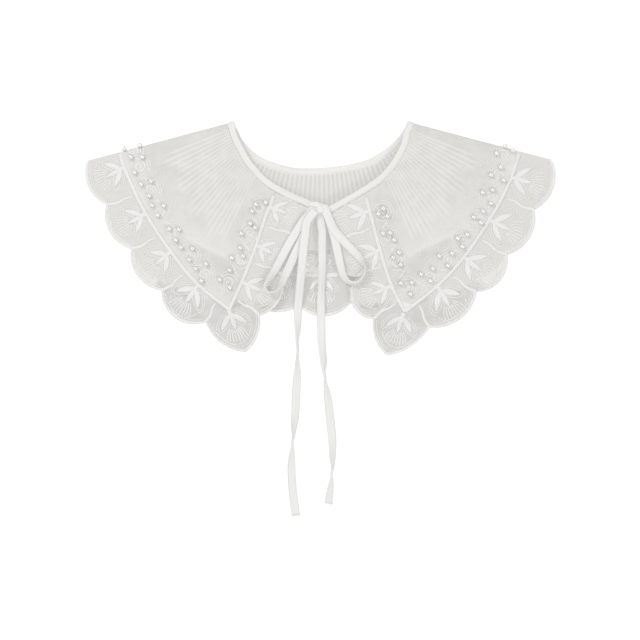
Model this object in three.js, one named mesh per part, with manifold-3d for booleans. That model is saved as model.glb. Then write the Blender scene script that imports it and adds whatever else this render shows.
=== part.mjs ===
// A detachable cape collar of sheer pleated organza with a scalloped lace border, pearl
// rosettes and a tied ribbon, lying flat with both shoulders folded.
// Millimetres, +Z up from the table, +X to the right and +Y towards the shoulders.
import * as THREE from "three";
import { mergeVertices } from "three/addons/utils/BufferGeometryUtils.js";
import Module from "manifold-3d";

const wasm = await Module();
wasm.setup();

// Overall sizes
const collarWidth = 449;
const collarDepth = 222;
const clothThickness = 1;
const cordHeight = 2;
const clearance = 0.3;
const seamGap = 0.4;
const bindingGap = 0.8;

// Neck, folds and layers
const bindingWidth = 6.2;
const neckRise = 10;
const edgeRise = 2.5;
const neckCentreDown = 12;
const highRadius = 66;
const lowRadius = 222;
const droopLength = 15;

// Pleats
const frontPleats = 11;
const backPleats = 20;
const pleatHeight = 0.6;
const pleatReach = 0.62;
const backFanPower = 0.67;

// Trim
const edgeCordWidth = 2.6;
const seamCordWidth = 2.4;
const trimThickness = 1.1;
const rosetteRadius = 8.6;
const stemWidth = 2;
const pearlDiameter = 4.6;
const pearlSides = 10;
const rosetteSides = 10;
const smallDetail = 0.06;

// Ribbon
const ribbonWidth = 7.8;
const ribbonThickness = 1;
const knotWidth = 16;
const knotLength = 14;
const knotHeight = 8;
const knotRise = 1.5;
const knotPlace = [-0.1, 37.7];

// Places are percent of half the width across, and percent of the depth down from the shoulders.
const neckLeft = [[-36.1, 0.2], [-35.3, 4.1], [-33.4, 8.8], [-30, 15.2], [-27, 19.3], [-21.1, 25.3],
  [-12.6, 30.2], [-4.1, 34], [-1.5, 35.6]];
const neckRight = [[36.9, 0.2], [35.4, 4.7], [33.9, 10.5], [29.7, 18], [24.6, 23.6], [18.7, 27.8],
  [10.7, 32.5], [3.5, 36.6], [1, 38]];
const neckBack = [[-36.1, 0.2], [-32.5, 8.1], [-26.2, 14.3], [-19, 17.6], [-10.5, 19.7], [2.2, 19.7],
  [17, 17.3], [25.5, 13.3], [33.1, 6.9], [36.9, 0.2]];
const seamLeft = [[-84.6, 13.1], [-81.2, 23.1], [-73.1, 39.8], [-63.4, 54.8], [-52, 69], [-38.2, 80.3]];
const seamRight = [[84.3, 13.1], [80.5, 24.8], [72.9, 39.8], [61.5, 57], [50, 69.8], [35.9, 81.2]];
const legLeft = [[-38.2, 80.3], [-32.5, 67.7], [-27.4, 54.8], [-23.2, 42]];
const legRight = [[35.9, 81.2], [30.1, 69.8], [25.1, 54], [21.7, 41.1]];
const seamBack = [[-84.6, 13.1], [-76.5, 32.1], [-63.4, 45.8], [-46.5, 55.7], [-29.5, 62.1],
  [-6.7, 65.3], [7.7, 65.3], [29.7, 61.7], [46.6, 53.5], [63.6, 45.4], [76.3, 32.1], [84.3, 13.1]];

// A row for each notch: its place, the share of the seam beside it (over 1 is the leg of a front),
// and the bulge of the scallop that ends there, as a share of its width. A front's last scallop
// ends at the binding.
const scallopsLeft = [
  { across: -98.1, down: 16.7, seam: 0, bulge: 0 },
  { across: -90.1, down: 35.5, seam: 0.24, bulge: 0.2 },
  { across: -79.7, down: 54.4, seam: 0.48, bulge: 0.21 },
  { across: -66.8, down: 72.2, seam: 0.71, bulge: 0.21 },
  { across: -48.2, down: 85.7, seam: 0.92, bulge: 0.27 },
  { across: -31.2, down: 98.5, seam: 1, bulge: 0.15 },
  { across: -25.3, down: 82.9, seam: 1.1, bulge: 0.13 },
  { across: -15.6, down: 65.5, seam: 1.42, bulge: 0.22 },
  { across: -10.1, down: 50.1, seam: 1.73, bulge: 0.2 },
  { seam: 2, bulge: 0.12 },
];
const scallopsRight = [
  { across: 97.9, down: 16.3, seam: 0, bulge: 0 },
  { across: 90.7, down: 37.7, seam: 0.24, bulge: 0.21 },
  { across: 79.2, down: 57, seam: 0.48, bulge: 0.2 },
  { across: 66.3, down: 72.8, seam: 0.71, bulge: 0.23 },
  { across: 46.4, down: 88, seam: 0.92, bulge: 0.2 },
  { across: 28.4, down: 100, seam: 1, bulge: 0.11 },
  { across: 22.5, down: 84.4, seam: 1.1, bulge: 0.13 },
  { across: 15.7, down: 66.4, seam: 1.42, bulge: 0.32 },
  { across: 9.8, down: 51.8, seam: 1.73, bulge: 0.24 },
  { seam: 2, bulge: 0.12 },
];
const scallopsBack = [
  { across: -98.1, down: 16.7, seam: 0, bulge: 0 },
  { across: -89.2, down: 34.9, seam: 0.1, bulge: 0.17 },
  { across: -78.9, down: 53.1, seam: 0.17, bulge: 0.18 },
  { across: -65.5, down: 67.7, seam: 0.225, bulge: 0.19 },
  { across: -47.7, down: 74.5, seam: 0.29, bulge: 0.19 },
  { across: -28.7, down: 76.7, seam: 0.37, bulge: 0.19 },
  { across: -8.8, down: 78.8, seam: 0.458, bulge: 0.18 },
  { across: 13, down: 77.5, seam: 0.56, bulge: 0.23 },
  { across: 32.3, down: 75.8, seam: 0.64, bulge: 0.18 },
  { across: 50, down: 73.2, seam: 0.71, bulge: 0.19 },
  { across: 66.5, down: 66.8, seam: 0.775, bulge: 0.19 },
  { across: 78.4, down: 55.2, seam: 0.83, bulge: 0.18 },
  { across: 89.8, down: 36.8, seam: 0.9, bulge: 0.18 },
  { across: 97.9, down: 16.3, seam: 1, bulge: 0.17 },
];

// Beyond the back layer's lower edge the fronts sink to the table: across, and down at that edge.
const backEdge = [[0, 85], [28, 83], [48, 81], [57, 78.5], [68, 73], [74, 82], [110, 90]];

// A row for each rosette: its place, and each pearl's bearing and reach in rosette radii.
const rosettesLeft = [
  { across: -79.1, down: 12.6, pearls: [[165, 0.92], [35, 1.03], [-100, 0.73]] },
  { across: -76.1, down: 19.3, pearls: [[70, 1.07], [-125, 0.83]] },
  { across: -71.4, down: 29.6, pearls: [[85, 1], [145, 1.2], [-100, 0.62]] },
  { across: -67.6, down: 38.5, pearls: [[140, 1.02], [50, 0.79], [-110, 0.47]] },
  { across: -61.7, down: 48.4, pearls: [[125, 0.76], [40, 0.83], [-65, 0.67]] },
  { across: -54.9, down: 57.4, pearls: [[135, 1.3], [65, 0.85], [-90, 0.44]] },
  { across: -48.6, down: 65.5, pearls: [[145, 1.16], [80, 1.19], [-115, 0.75]] },
  { across: -38.4, down: 69, pearls: [[160, 1.02], [85, 1.4], [-75, 0.51]] },
  { across: -32.9, down: 59.1, pearls: [[170, 1.08], [95, 1.29], [65, 0.42]] },
  { across: -29.5, down: 47.5, pearls: [[85, 0.95], [40, 0.79], [-170, 0.9]] },
  { across: -25.3, down: 36.8, pearls: [[145, 0.48], [35, 0.83], [-150, 0.94]] },
];
const rosettesRight = [
  { across: 77.5, down: 14.4, pearls: [[170, 0.8], [80, 0.96], [25, 1.09]] },
  { across: 75.9, down: 22.7, pearls: [[-175, 1.01], [85, 0.78], [-60, 0.77]] },
  { across: 72, down: 32.5, pearls: [[150, 1.02], [75, 0.81], [-90, 0.67]] },
  { across: 67.4, down: 41.5, pearls: [[170, 0.68], [65, 0.85], [-75, 0.51]] },
  { across: 60.6, down: 51, pearls: [[160, 0.7], [60, 0.77], [-100, 0.68]] },
  { across: 54.3, down: 59.5, pearls: [[155, 1.17], [65, 0.87], [-100, 0.57]] },
  { across: 46.6, down: 66.8, pearls: [[160, 1.11], [75, 1.02], [-90, 0.33]] },
  { across: 36.9, down: 71.1, pearls: [[145, 0.88], [50, 0.75], [-65, 0.75]] },
  { across: 32.3, down: 60, pearls: [[75, 1.04], [130, 0.59], [-35, 0.56]] },
  { across: 28.9, down: 49.7, pearls: [[145, 0.76], [70, 0.53], [-25, 0.67]] },
  { across: 26.3, down: 39, pearls: [[75, 0.4], [-155, 0.5], [-40, 0.71]] },
];

// Ribbon routes: place, turn about the ribbon's own line in degrees, and the ribbons beneath it.
const loopLeft = [
  { across: -1.5, down: 38.3, turn: 0, over: 1 },
  { across: -4.6, down: 40.4, turn: 0, over: 1 },
  { across: -7.6, down: 43.6, turn: 0, over: 1 },
  { across: -10, down: 46.6, turn: 0, over: 0.3 },
  { across: -13, down: 51.5, turn: 0, over: 0 },
  { across: -16.4, down: 57.6, turn: 8, over: 0 },
  { across: -19.4, down: 62.8, turn: 20, over: 0 },
  { across: -21.8, down: 67.2, turn: 45, over: 0 },
  { across: -22.4, down: 70.8, turn: 75, over: 0 },
  { across: -20.9, down: 72.9, turn: 90, over: 0 },
  { across: -18.2, down: 72.3, turn: 105, over: 0 },
  { across: -16.1, down: 69.6, turn: 135, over: 0 },
  { across: -14, down: 65.1, turn: 160, over: 0 },
  { across: -11.6, down: 60, turn: 172, over: 0 },
  { across: -9.2, down: 54.8, turn: 180, over: 0 },
  { across: -6.8, down: 49.2, turn: 180, over: 0 },
  { across: -4.6, down: 43.4, turn: 180, over: 0 },
  { across: -2, down: 38.3, turn: 180, over: 0 },
];
const loopRight = [
  { across: 1.4, down: 38, turn: 0, over: 0 },
  { across: 3.6, down: 42, turn: 0, over: 0 },
  { across: 5.6, down: 50.5, turn: 0, over: 0 },
  { across: 6.9, down: 57, turn: -8, over: 0 },
  { across: 8.2, down: 62.6, turn: -20, over: 0 },
  { across: 10, down: 66.9, turn: -40, over: 0 },
  { across: 13, down: 69.2, turn: -65, over: 0 },
  { across: 16.2, down: 68.7, turn: -80, over: 0 },
  { across: 18.6, down: 65.5, turn: -90, over: 0 },
  { across: 18.9, down: 61.4, turn: -105, over: 0 },
  { across: 16.6, down: 57.4, turn: -135, over: 0 },
  { across: 13, down: 53.4, turn: -165, over: 0.2 },
  { across: 9.4, down: 48.4, turn: -180, over: 1 },
  { across: 5.8, down: 42.4, turn: -180, over: 1 },
  { across: 2, down: 38, turn: -180, over: 1 },
];

// The tails' points stay as chosen, in millimetres from the collar's middle, with the height of
// what each one lies on.
const tailLeft = [
  { x: -4, y: 26, rest: 15, turn: 0 },
  { x: -11.6, y: 16, rest: 15, turn: 0 },
  { x: -13.6, y: 5, rest: 14.8, turn: 0 },
  { x: -15, y: -8, rest: 14.4, turn: 0 },
  { x: -16.6, y: -24, rest: 13.6, turn: 0 },
  { x: -18, y: -38, rest: 10, turn: 0 },
  { x: -19.2, y: -50, rest: 6.4, turn: 0 },
  { x: -20.4, y: -62, rest: 3, turn: 0 },
  { x: -21, y: -74, rest: 1, turn: 15 },
  { x: -20.8, y: -88, rest: 0, turn: 50 },
  { x: -20.8, y: -103, rest: 0, turn: 80 },
  { x: -20.6, y: -118, rest: 0, turn: 120 },
  { x: -21.4, y: -133, rest: 0, turn: 160 },
  { x: -22.6, y: -150, rest: 0, turn: 180 },
  { x: -23.4, y: -167, rest: 0, turn: 195 },
  { x: -25, y: -181, rest: 0, turn: 235 },
  { x: -25.8, y: -192, rest: 0, turn: 270 },
  { x: -26.6, y: -204, rest: 0, turn: 310 },
  { x: -26.8, y: -220, rest: 0, turn: 345 },
  { x: -25.6, y: -240, rest: 0, turn: 360 },
  { x: -22.8, y: -262.5, rest: 0, turn: 360 },
];
const tailRight = [
  { x: -0.8, y: 26, rest: 11, turn: 0 },
  { x: 1, y: 16, rest: 9.8, turn: 0 },
  { x: 2.3, y: 6, rest: 8.4, turn: 0 },
  { x: 2.3, y: -4, rest: 7, turn: 0 },
  { x: 2.4, y: -16, rest: 4.6, turn: 10 },
  { x: 2.6, y: -30, rest: 3.4, turn: 40 },
  { x: 1.8, y: -45, rest: 3, turn: 55 },
  { x: 1.2, y: -58, rest: 2.6, turn: 25 },
  { x: 1.2, y: -70, rest: 2.4, turn: 0 },
  { x: 1.4, y: -84, rest: 0.8, turn: 0 },
  { x: 1.8, y: -100, rest: 0, turn: 15 },
  { x: 3.6, y: -116, rest: 0, turn: 35 },
  { x: 4.8, y: -129, rest: 0, turn: 78 },
  { x: 6.6, y: -142, rest: 0, turn: 130 },
  { x: 8.6, y: -158, rest: 0, turn: 165 },
  { x: 10.4, y: -176, rest: 0, turn: 180 },
  { x: 11.9, y: -192, rest: 0, turn: 195 },
  { x: 11.9, y: -208, rest: 0, turn: 225 },
  { x: 11.2, y: -222, rest: 0, turn: 270 },
  { x: 10.4, y: -234, rest: 0, turn: 310 },
  { x: 8.4, y: -251, rest: 0, turn: 345 },
];

// Plan places and curves

function plan([across, down]) {
  return new THREE.Vector2(across / 100 * collarWidth / 2, (0.5 - down / 100) * collarDepth);
}

function planCurve(rows) {
  return new THREE.SplineCurve(rows.map(plan));
}

// The place this far outside the neck curve, on the cloth's side of it.
function besideNeck(curve, share, side, distance) {
  const point = curve.getPointAt(share);
  const tangent = curve.getTangentAt(share);
  return new THREE.Vector2(tangent.y, -tangent.x).multiplyScalar(side * distance).add(point);
}

function clothSide(curve, share, side) {
  return besideNeck(curve, share, side, bindingWidth);
}

// A front: its neck curve, the seam along its lower edge, and the seam's leg up to the binding.
// The leg and the border's free edge meet the binding at these shares of the neck curve.
function frontPanel(neckRows, seamRows, legRows, side, legOnNeck, edgeOnNeck) {
  const neck = planCurve(neckRows);
  const legTop = besideNeck(neck, legOnNeck, side, bindingWidth + bindingGap);
  const edgeTop = besideNeck(neck, edgeOnNeck, side, bindingWidth + bindingGap);
  const leg = new THREE.SplineCurve([...legRows.map(plan), legTop]);
  return { neck, seam: planCurve(seamRows), leg, side, legOnNeck, edgeTop };
}

const panels = {
  left: frontPanel(neckLeft, seamLeft, legLeft, 1, 0.66, 0.89),
  right: frontPanel(neckRight, seamRight, legRight, -1, 0.65, 0.89),
};
const backNeck = planCurve(neckBack);
const backSeam = planCurve(seamBack);

// Folds and heights

function foldOf(neckRow, edgeRow) {
  const neck = plan(neckRow);
  const edge = plan(edgeRow);
  const along = edge.clone().sub(neck).normalize();
  const inward = new THREE.Vector2(along.y, -along.x);
  if (inward.y > 0) inward.negate();
  return { neck, along, inward };
}

const folds = {
  left: foldOf(neckLeft[0], [scallopsLeft[0].across, scallopsLeft[0].down]),
  right: foldOf(neckRight[0], [scallopsRight[0].across, scallopsRight[0].down]),
};

function distanceFromFold(point, fold) {
  return Math.max(0, point.clone().sub(fold.neck).dot(fold.inward));
}

function smoothShare(value, low, high) {
  return THREE.MathUtils.smoothstep(value, low, high);
}

function droopAt(point) {
  const across = Math.abs(point.x) / (collarWidth / 2) * 100;
  const down = (0.5 - point.y / collarDepth) * 100;
  const last = backEdge.findIndex((row) => row[0] > across);
  const [before, after] = [backEdge[last - 1], backEdge[last]];
  const share = (across - before[0]) / (after[0] - before[0]);
  const edgeDown = THREE.MathUtils.lerp(before[1], after[1], share);
  return smoothShare((down - edgeDown) / 100 * collarDepth, 0, droopLength);
}

const backMiddle = cordHeight / 2;
const neckCentre = plan([0, neckCentreDown]);

// How far the front layer's middle lies above the back layer's, away from the folds.
function layerGap(point) {
  const nearness = 1 - smoothShare(point.distanceTo(neckCentre), highRadius, lowRadius);
  const rise = THREE.MathUtils.lerp(edgeRise, neckRise, nearness);
  return rise * (1 - droopAt(point));
}

function rollAt(point, side) {
  const radius = layerGap(point) / 2;
  const distance = Math.min(distanceFromFold(point, folds.left), distanceFromFold(point, folds.right));
  const inside = Math.max(0, radius - distance);
  return backMiddle + radius + side * Math.sqrt(Math.max(0, radius * radius - inside * inside));
}

const heights = {
  front: (point) => rollAt(point, 1),
  back: (point) => rollAt(point, -1),
  open: (point) => backMiddle + layerGap(point),
};

function lift(point, layer) {
  return new THREE.Vector3(point.x, point.y, heights[layer](point));
}

// Walls: a closed solid around a grid of middle points

function gridNormal(grid, i, j) {
  const rows = grid.length - 1;
  const columns = grid[0].length - 1;
  const along = grid[Math.min(rows, i + 1)][j].clone().sub(grid[Math.max(0, i - 1)][j]);
  const across = grid[i][Math.min(columns, j + 1)].clone().sub(grid[i][Math.max(0, j - 1)]);
  return along.cross(across).normalize();
}

function signedVolume(positions, index) {
  let volume = 0;
  const corner = [0, 1, 2].map(() => new THREE.Vector3());
  for (let i = 0; i < index.length; i += 3) {
    corner.forEach((vector, k) => vector.fromArray(positions, index[i + k] * 3));
    volume += corner[0].dot(corner[1].cross(corner[2])) / 6;
  }
  return volume;
}

function solidFrom(positions, index) {
  const outward = signedVolume(positions, index) > 0;
  const turned = outward ? index : [...index].reverse();
  const geometry = new THREE.BufferGeometry();
  geometry.setAttribute("position", new THREE.Float32BufferAttribute(positions, 3));
  geometry.setIndex(turned);
  return geometry;
}

function wallSolid(grid, halfThickness, raise = () => 0) {
  const rows = grid.length;
  const columns = grid[0].length;
  const positions = [];
  for (const side of [1, -1]) {
    for (let i = 0; i < rows; i++) {
      for (let j = 0; j < columns; j++) {
        const normal = gridNormal(grid, i, j);
        const point = grid[i][j].clone().addScaledVector(normal, side * halfThickness(i, j));
        point.z += raise(i, j);
        positions.push(point.x, point.y, point.z);
      }
    }
  }
  const id = (i, j, under) => (under ? rows * columns : 0) + i * columns + j;
  const index = [];
  const quad = (a, b, c, d) => index.push(a, b, c, a, c, d);
  for (let i = 0; i < rows - 1; i++) {
    for (let j = 0; j < columns - 1; j++) {
      quad(id(i, j, false), id(i + 1, j, false), id(i + 1, j + 1, false), id(i, j + 1, false));
      index.push(id(i, j, true), id(i + 1, j + 1, true), id(i + 1, j, true));
      index.push(id(i, j, true), id(i, j + 1, true), id(i + 1, j + 1, true));
    }
    quad(id(i, 0, true), id(i + 1, 0, true), id(i + 1, 0, false), id(i, 0, false));
    const last = columns - 1;
    quad(id(i, last, false), id(i + 1, last, false), id(i + 1, last, true), id(i, last, true));
  }
  for (let j = 0; j < columns - 1; j++) {
    quad(id(0, j, false), id(0, j + 1, false), id(0, j + 1, true), id(0, j, true));
    const end = rows - 1;
    quad(id(end, j, true), id(end, j + 1, true), id(end, j + 1, false), id(end, j, false));
  }
  return solidFrom(positions, index);
}

// Stations: lines that run from the neck over the yoke to the seam

// Lines beside a fold lie at these shares of the roll's radius from it.
const rollShares = [1, 0.5, 0.134, 0, 0.134, 0.5, 1];

function rollPoint(point, fold, share) {
  const along = point.clone().sub(fold.neck).dot(fold.along);
  const onFold = fold.neck.clone().addScaledVector(fold.along, along);
  return onFold.clone().addScaledVector(fold.inward, share * layerGap(onFold) / 2);
}

const lastPleat = { neck: 0.72, seam: 0.83 };
const firstShare = 0.075;
const frontScallopSteps = 5;
const backScallopSteps = 4;

function frontSeamShare(neckShare) {
  if (neckShare < lastPleat.neck) return neckShare / lastPleat.neck * lastPleat.seam;
  const rest = (neckShare - lastPleat.neck) / (1 - lastPleat.neck);
  return THREE.MathUtils.lerp(lastPleat.seam, 1, rest);
}

const straightLine = () => new THREE.Vector2();

// Beyond the last pleat the lines bend more and more with the leg seam, and the last lies beside it.
function frontLine(panel, neckShare, ridge) {
  const neck = clothSide(panel.neck, neckShare * panel.legOnNeck, panel.side);
  const seam = panel.seam.getPointAt(frontSeamShare(neckShare));
  const follow = smoothShare(neckShare, lastPleat.neck, 1);
  const inside = new THREE.Vector2(-panel.side * seamGap, 0);
  const bend = (share) => {
    const straight = panel.leg.getPointAt(1).lerp(panel.leg.getPointAt(0), share);
    return panel.leg.getPointAt(1 - share).sub(straight).add(inside).multiplyScalar(follow);
  };
  return { neck, seam, bend, ridge, layer: "front" };
}

function frontLines(panel) {
  const lines = [];
  const steps = frontPleats * 2;
  for (let i = 0; i <= steps; i++) {
    const share = THREE.MathUtils.lerp(firstShare, lastPleat.neck, i / steps);
    lines.push(frontLine(panel, share, i % 2));
  }
  for (const rest of [0.5, 1]) {
    lines.push(frontLine(panel, THREE.MathUtils.lerp(lastPleat.neck, 1, rest), 0));
  }
  return lines;
}

// From the fold to the middle the seam's share runs ahead of the neck's, so the pleats fan out.
function backSeamShare(neckShare) {
  const fromFold = Math.min(neckShare, 1 - neckShare) * 2;
  const share = fromFold ** backFanPower / 2;
  return neckShare < 0.5 ? share : 1 - share;
}

function backLines() {
  const lines = [];
  const steps = backPleats * 2;
  const first = 0.04;
  for (let i = 0; i <= steps; i++) {
    const share = THREE.MathUtils.lerp(first, 1 - first, i / steps);
    const neck = clothSide(backNeck, share, 1);
    const seam = backSeam.getPointAt(backSeamShare(share));
    lines.push({ neck, seam, bend: straightLine, ridge: i % 2, layer: "back" });
  }
  return lines;
}

function foldLines(panel, fold, fromFront) {
  const neck = clothSide(panel.neck, 0, panel.side);
  const seam = panel.seam.getPointAt(0);
  const lines = rollShares.map((share, i) => ({
    neck: rollPoint(neck, fold, share),
    seam: rollPoint(seam, fold, share),
    bend: straightLine,
    ridge: 0,
    layer: i < rollShares.length / 2 ? "front" : "back",
  }));
  return fromFront ? lines : lines.reverse();
}

function yokeLines() {
  return [
    ...frontLines(panels.left).reverse(),
    ...foldLines(panels.left, folds.left, true),
    ...backLines(),
    ...foldLines(panels.right, folds.right, false),
    ...frontLines(panels.right),
  ];
}

// Pieces of cloth

function yoke() {
  const lines = yokeLines();
  const rows = [0, 0.3, pleatReach, 0.82, 1];
  const pleatShare = [0.8, 1, 0.7, 0, 0];
  const grid = lines.map((line) => {
    const length = line.neck.distanceTo(line.seam);
    const start = clearance / length;
    const end = 1 - seamGap / length;
    return rows.map((row) => {
      const share = THREE.MathUtils.lerp(start, end, row);
      const point = line.neck.clone().lerp(line.seam, share).add(line.bend(share));
      return lift(point, line.layer);
    });
  });
  const raise = (i, j) => lines[i].ridge * pleatShare[j] * pleatHeight;
  return wallSolid(grid, () => clothThickness / 2, raise);
}

function binding() {
  const stations = [];
  const add = (curve, share, side, layer) => {
    stations.push({ neck: curve.getPointAt(share), cloth: clothSide(curve, share, side), layer });
  };
  const addFold = (panel, fold, fromFront) => {
    const neck = panel.neck.getPointAt(0);
    const cloth = clothSide(panel.neck, 0, panel.side);
    const turned = rollShares.map((share, i) => ({
      neck: rollPoint(neck, fold, share),
      cloth: rollPoint(cloth, fold, share),
      layer: i < rollShares.length / 2 ? "front" : "back",
    }));
    stations.push(...(fromFront ? turned : turned.reverse()));
  };
  const frontSteps = 10;
  const backSteps = 18;
  for (let i = frontSteps; i >= 0; i--) {
    add(panels.left.neck, THREE.MathUtils.lerp(firstShare, 1, i / frontSteps), 1, "front");
  }
  addFold(panels.left, folds.left, true);
  for (let i = 0; i <= backSteps; i++) {
    add(backNeck, THREE.MathUtils.lerp(0.04, 0.96, i / backSteps), 1, "back");
  }
  addFold(panels.right, folds.right, false);
  for (let i = 0; i <= frontSteps; i++) {
    add(panels.right.neck, THREE.MathUtils.lerp(firstShare, 1, i / frontSteps), -1, "front");
  }
  const grid = stations.map(({ neck, cloth, layer }) => (
    [0, 0.5, 1].map((share) => lift(neck.clone().lerp(cloth, share), layer))
  ));
  const middle = cordHeight / 2;
  const edge = middle * 0.6;
  return clearOfKnot(wallSolid(grid, (i, j) => (j === 1 ? middle : edge)));
}

// A round edge from one notch to the next, bulging away from the seam.
function scallopPoint(from, to, bulge, share, outward) {
  const chord = to.clone().sub(from);
  const width = chord.length();
  const depth = bulge * width;
  const radius = (width * width / 4 + depth * depth) / (2 * depth);
  const halfAngle = Math.asin(Math.min(1, width / 2 / radius));
  const angle = THREE.MathUtils.lerp(-halfAngle, halfAngle, share);
  const along = chord.clone().normalize();
  const away = new THREE.Vector2(along.y, -along.x).multiplyScalar(outward);
  const rise = radius * (Math.cos(angle) - Math.cos(halfAngle));
  const middle = from.clone().lerp(to, 0.5);
  return middle.addScaledVector(along, radius * Math.sin(angle)).addScaledVector(away, rise);
}

function scallopLines(rows, notches, seamPoint, layer, outward, steps) {
  const lines = [];
  for (let k = 1; k < rows.length; k++) {
    const [from, to] = [rows[k - 1], rows[k]];
    const pointed = from.seam === 1 || to.seam === 1;
    const count = pointed ? steps - 1 : steps;
    for (let i = k === 1 ? 1 : 0; i < count; i++) {
      const share = i / count;
      const edge = scallopPoint(notches[k - 1], notches[k], to.bulge, share, outward);
      lines.push({ seam: seamPoint(THREE.MathUtils.lerp(from.seam, to.seam, share)), edge, layer });
    }
  }
  const last = rows.length - 1;
  lines.push({ seam: seamPoint(rows[last].seam), edge: notches[last], layer });
  return lines;
}

function placesOf(rows) {
  return rows.map(({ across, down }) => plan([across, down]));
}

function frontScallops(panel, rows) {
  const notches = [...placesOf(rows.slice(0, -1)), panel.edgeTop];
  const seamPoint = (share) => (
    share <= 1 ? panel.seam.getPointAt(share) : panel.leg.getPointAt(share - 1)
  );
  return scallopLines(rows, notches, seamPoint, "front", panel.side, frontScallopSteps);
}

function backScallops() {
  const seamPoint = (share) => backSeam.getPointAt(share);
  return scallopLines(scallopsBack, placesOf(scallopsBack), seamPoint, "back", 1, backScallopSteps);
}

function borderFold(panel, rows, fold, fromFront) {
  const seam = panel.seam.getPointAt(0);
  const edge = plan([rows[0].across, rows[0].down]);
  const lines = rollShares.map((share, i) => ({
    seam: rollPoint(seam, fold, share),
    edge: rollPoint(edge, fold, share),
    layer: i < rollShares.length / 2 ? "front" : "back",
  }));
  return fromFront ? lines : lines.reverse();
}

function laceBorder() {
  const lines = [
    ...frontScallops(panels.left, scallopsLeft).reverse(),
    ...borderFold(panels.left, scallopsLeft, folds.left, true),
    ...backScallops().slice(0, -1),
    ...borderFold(panels.right, scallopsRight, folds.right, false),
    ...frontScallops(panels.right, scallopsRight),
  ];
  const half = clothThickness / 2;
  const thickness = [half, half, half, cordHeight / 2];
  const grid = lines.map(({ seam, edge, layer }) => {
    const length = seam.distanceTo(edge);
    const start = clearance / 2 / length;
    const cordStart = 1 - edgeCordWidth / length;
    return [start, cordStart / 2, cordStart, 1].map((share) => lift(seam.clone().lerp(edge, share), layer));
  });
  return wallSolid(grid, (i, j) => thickness[j]);
}

// Cords and trim

// A flat cord of the given width along plan points, lying on a layer.
function cordSolid(points, width, layer) {
  const grid = points.map((point, i) => {
    const before = points[Math.max(0, i - 1)];
    const after = points[Math.min(points.length - 1, i + 1)];
    const along = after.clone().sub(before).normalize();
    const side = new THREE.Vector2(along.y, -along.x).multiplyScalar(width / 2);
    return [-1, 1].map((sign) => {
      const place = lift(point.clone().addScaledVector(side, sign), layer);
      place.z += clothThickness / 2 + clearance + trimThickness / 2;
      return place;
    });
  });
  return wallSolid(grid, () => trimThickness / 2);
}

function alongCurve(curve, from, to, steps) {
  return Array.from({ length: steps + 1 }, (_, i) => curve.getPointAt(THREE.MathUtils.lerp(from, to, i / steps)));
}

function toManifold(geometry) {
  const bare = geometry.index ? geometry.toNonIndexed() : geometry;
  bare.deleteAttribute("normal");
  bare.deleteAttribute("uv");
  const merged = mergeVertices(bare, 1e-4);
  const mesh = new wasm.Mesh({
    numProp: 3,
    vertProperties: new Float32Array(merged.attributes.position.array),
    triVerts: new Uint32Array(merged.index.array),
  });
  return new wasm.Manifold(mesh);
}

function fromManifold(solid) {
  const mesh = solid.getMesh();
  const geometry = new THREE.BufferGeometry();
  geometry.setAttribute("position", new THREE.BufferAttribute(mesh.vertProperties, 3));
  geometry.setIndex(new THREE.BufferAttribute(mesh.triVerts, 1));
  return geometry;
}

function pearlSolid() {
  const radius = pearlDiameter / 2;
  const foot = trimThickness * 0.35;
  const profile = [[0, 0], [0.62, 0], [1, 0.85], [0.72, 1.55], [0, 1.85]];
  const points = profile.map(([out, up]) => new THREE.Vector2(out * radius, foot + up * radius));
  return new THREE.LatheGeometry(points, pearlSides).rotateX(Math.PI / 2);
}

function discSolid() {
  const shape = new THREE.CylinderGeometry(rosetteRadius, rosetteRadius, trimThickness, rosetteSides);
  return shape.rotateX(Math.PI / 2).translate(0, 0, trimThickness / 2);
}

// Turns and lifts a solid made on the flat to where it lies on the sloping front layer.
function seatOnFront(geometry, place) {
  const step = 4;
  const height = (dx, dy) => heights.open(new THREE.Vector2(place.x + dx, place.y + dy));
  const slopeX = (height(step, 0) - height(-step, 0)) / (2 * step);
  const slopeY = (height(0, step) - height(0, -step)) / (2 * step);
  const up = new THREE.Vector3(-slopeX, -slopeY, 1).normalize();
  const turn = new THREE.Quaternion().setFromUnitVectors(new THREE.Vector3(0, 0, 1), up);
  const above = height(0, 0) + clothThickness / 2 + clearance;
  return geometry.applyQuaternion(turn).translate(place.x, place.y, above);
}

// A stalk carries a pearl that lies outside its rosette.
function stalkSolid(out, angle) {
  const bar = new THREE.BoxGeometry(out, stemWidth, trimThickness);
  return bar.translate(out / 2, 0, trimThickness / 2).rotateZ(angle);
}

function rosetteSolids({ across, down, pearls }) {
  const place = plan([across, down]);
  let solid = toManifold(discSolid());
  for (const [bearing, reach] of pearls) {
    const angle = THREE.MathUtils.degToRad(bearing);
    const out = reach * rosetteRadius;
    if (reach > 1.1) solid = solid.add(toManifold(stalkSolid(out, angle)));
    const pearl = pearlSolid().translate(out * Math.cos(angle), out * Math.sin(angle), 0);
    solid = solid.add(toManifold(pearl));
  }
  const whole = solid.asOriginal().simplify(smallDetail);
  return toManifold(seatOnFront(fromManifold(whole), place));
}

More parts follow.
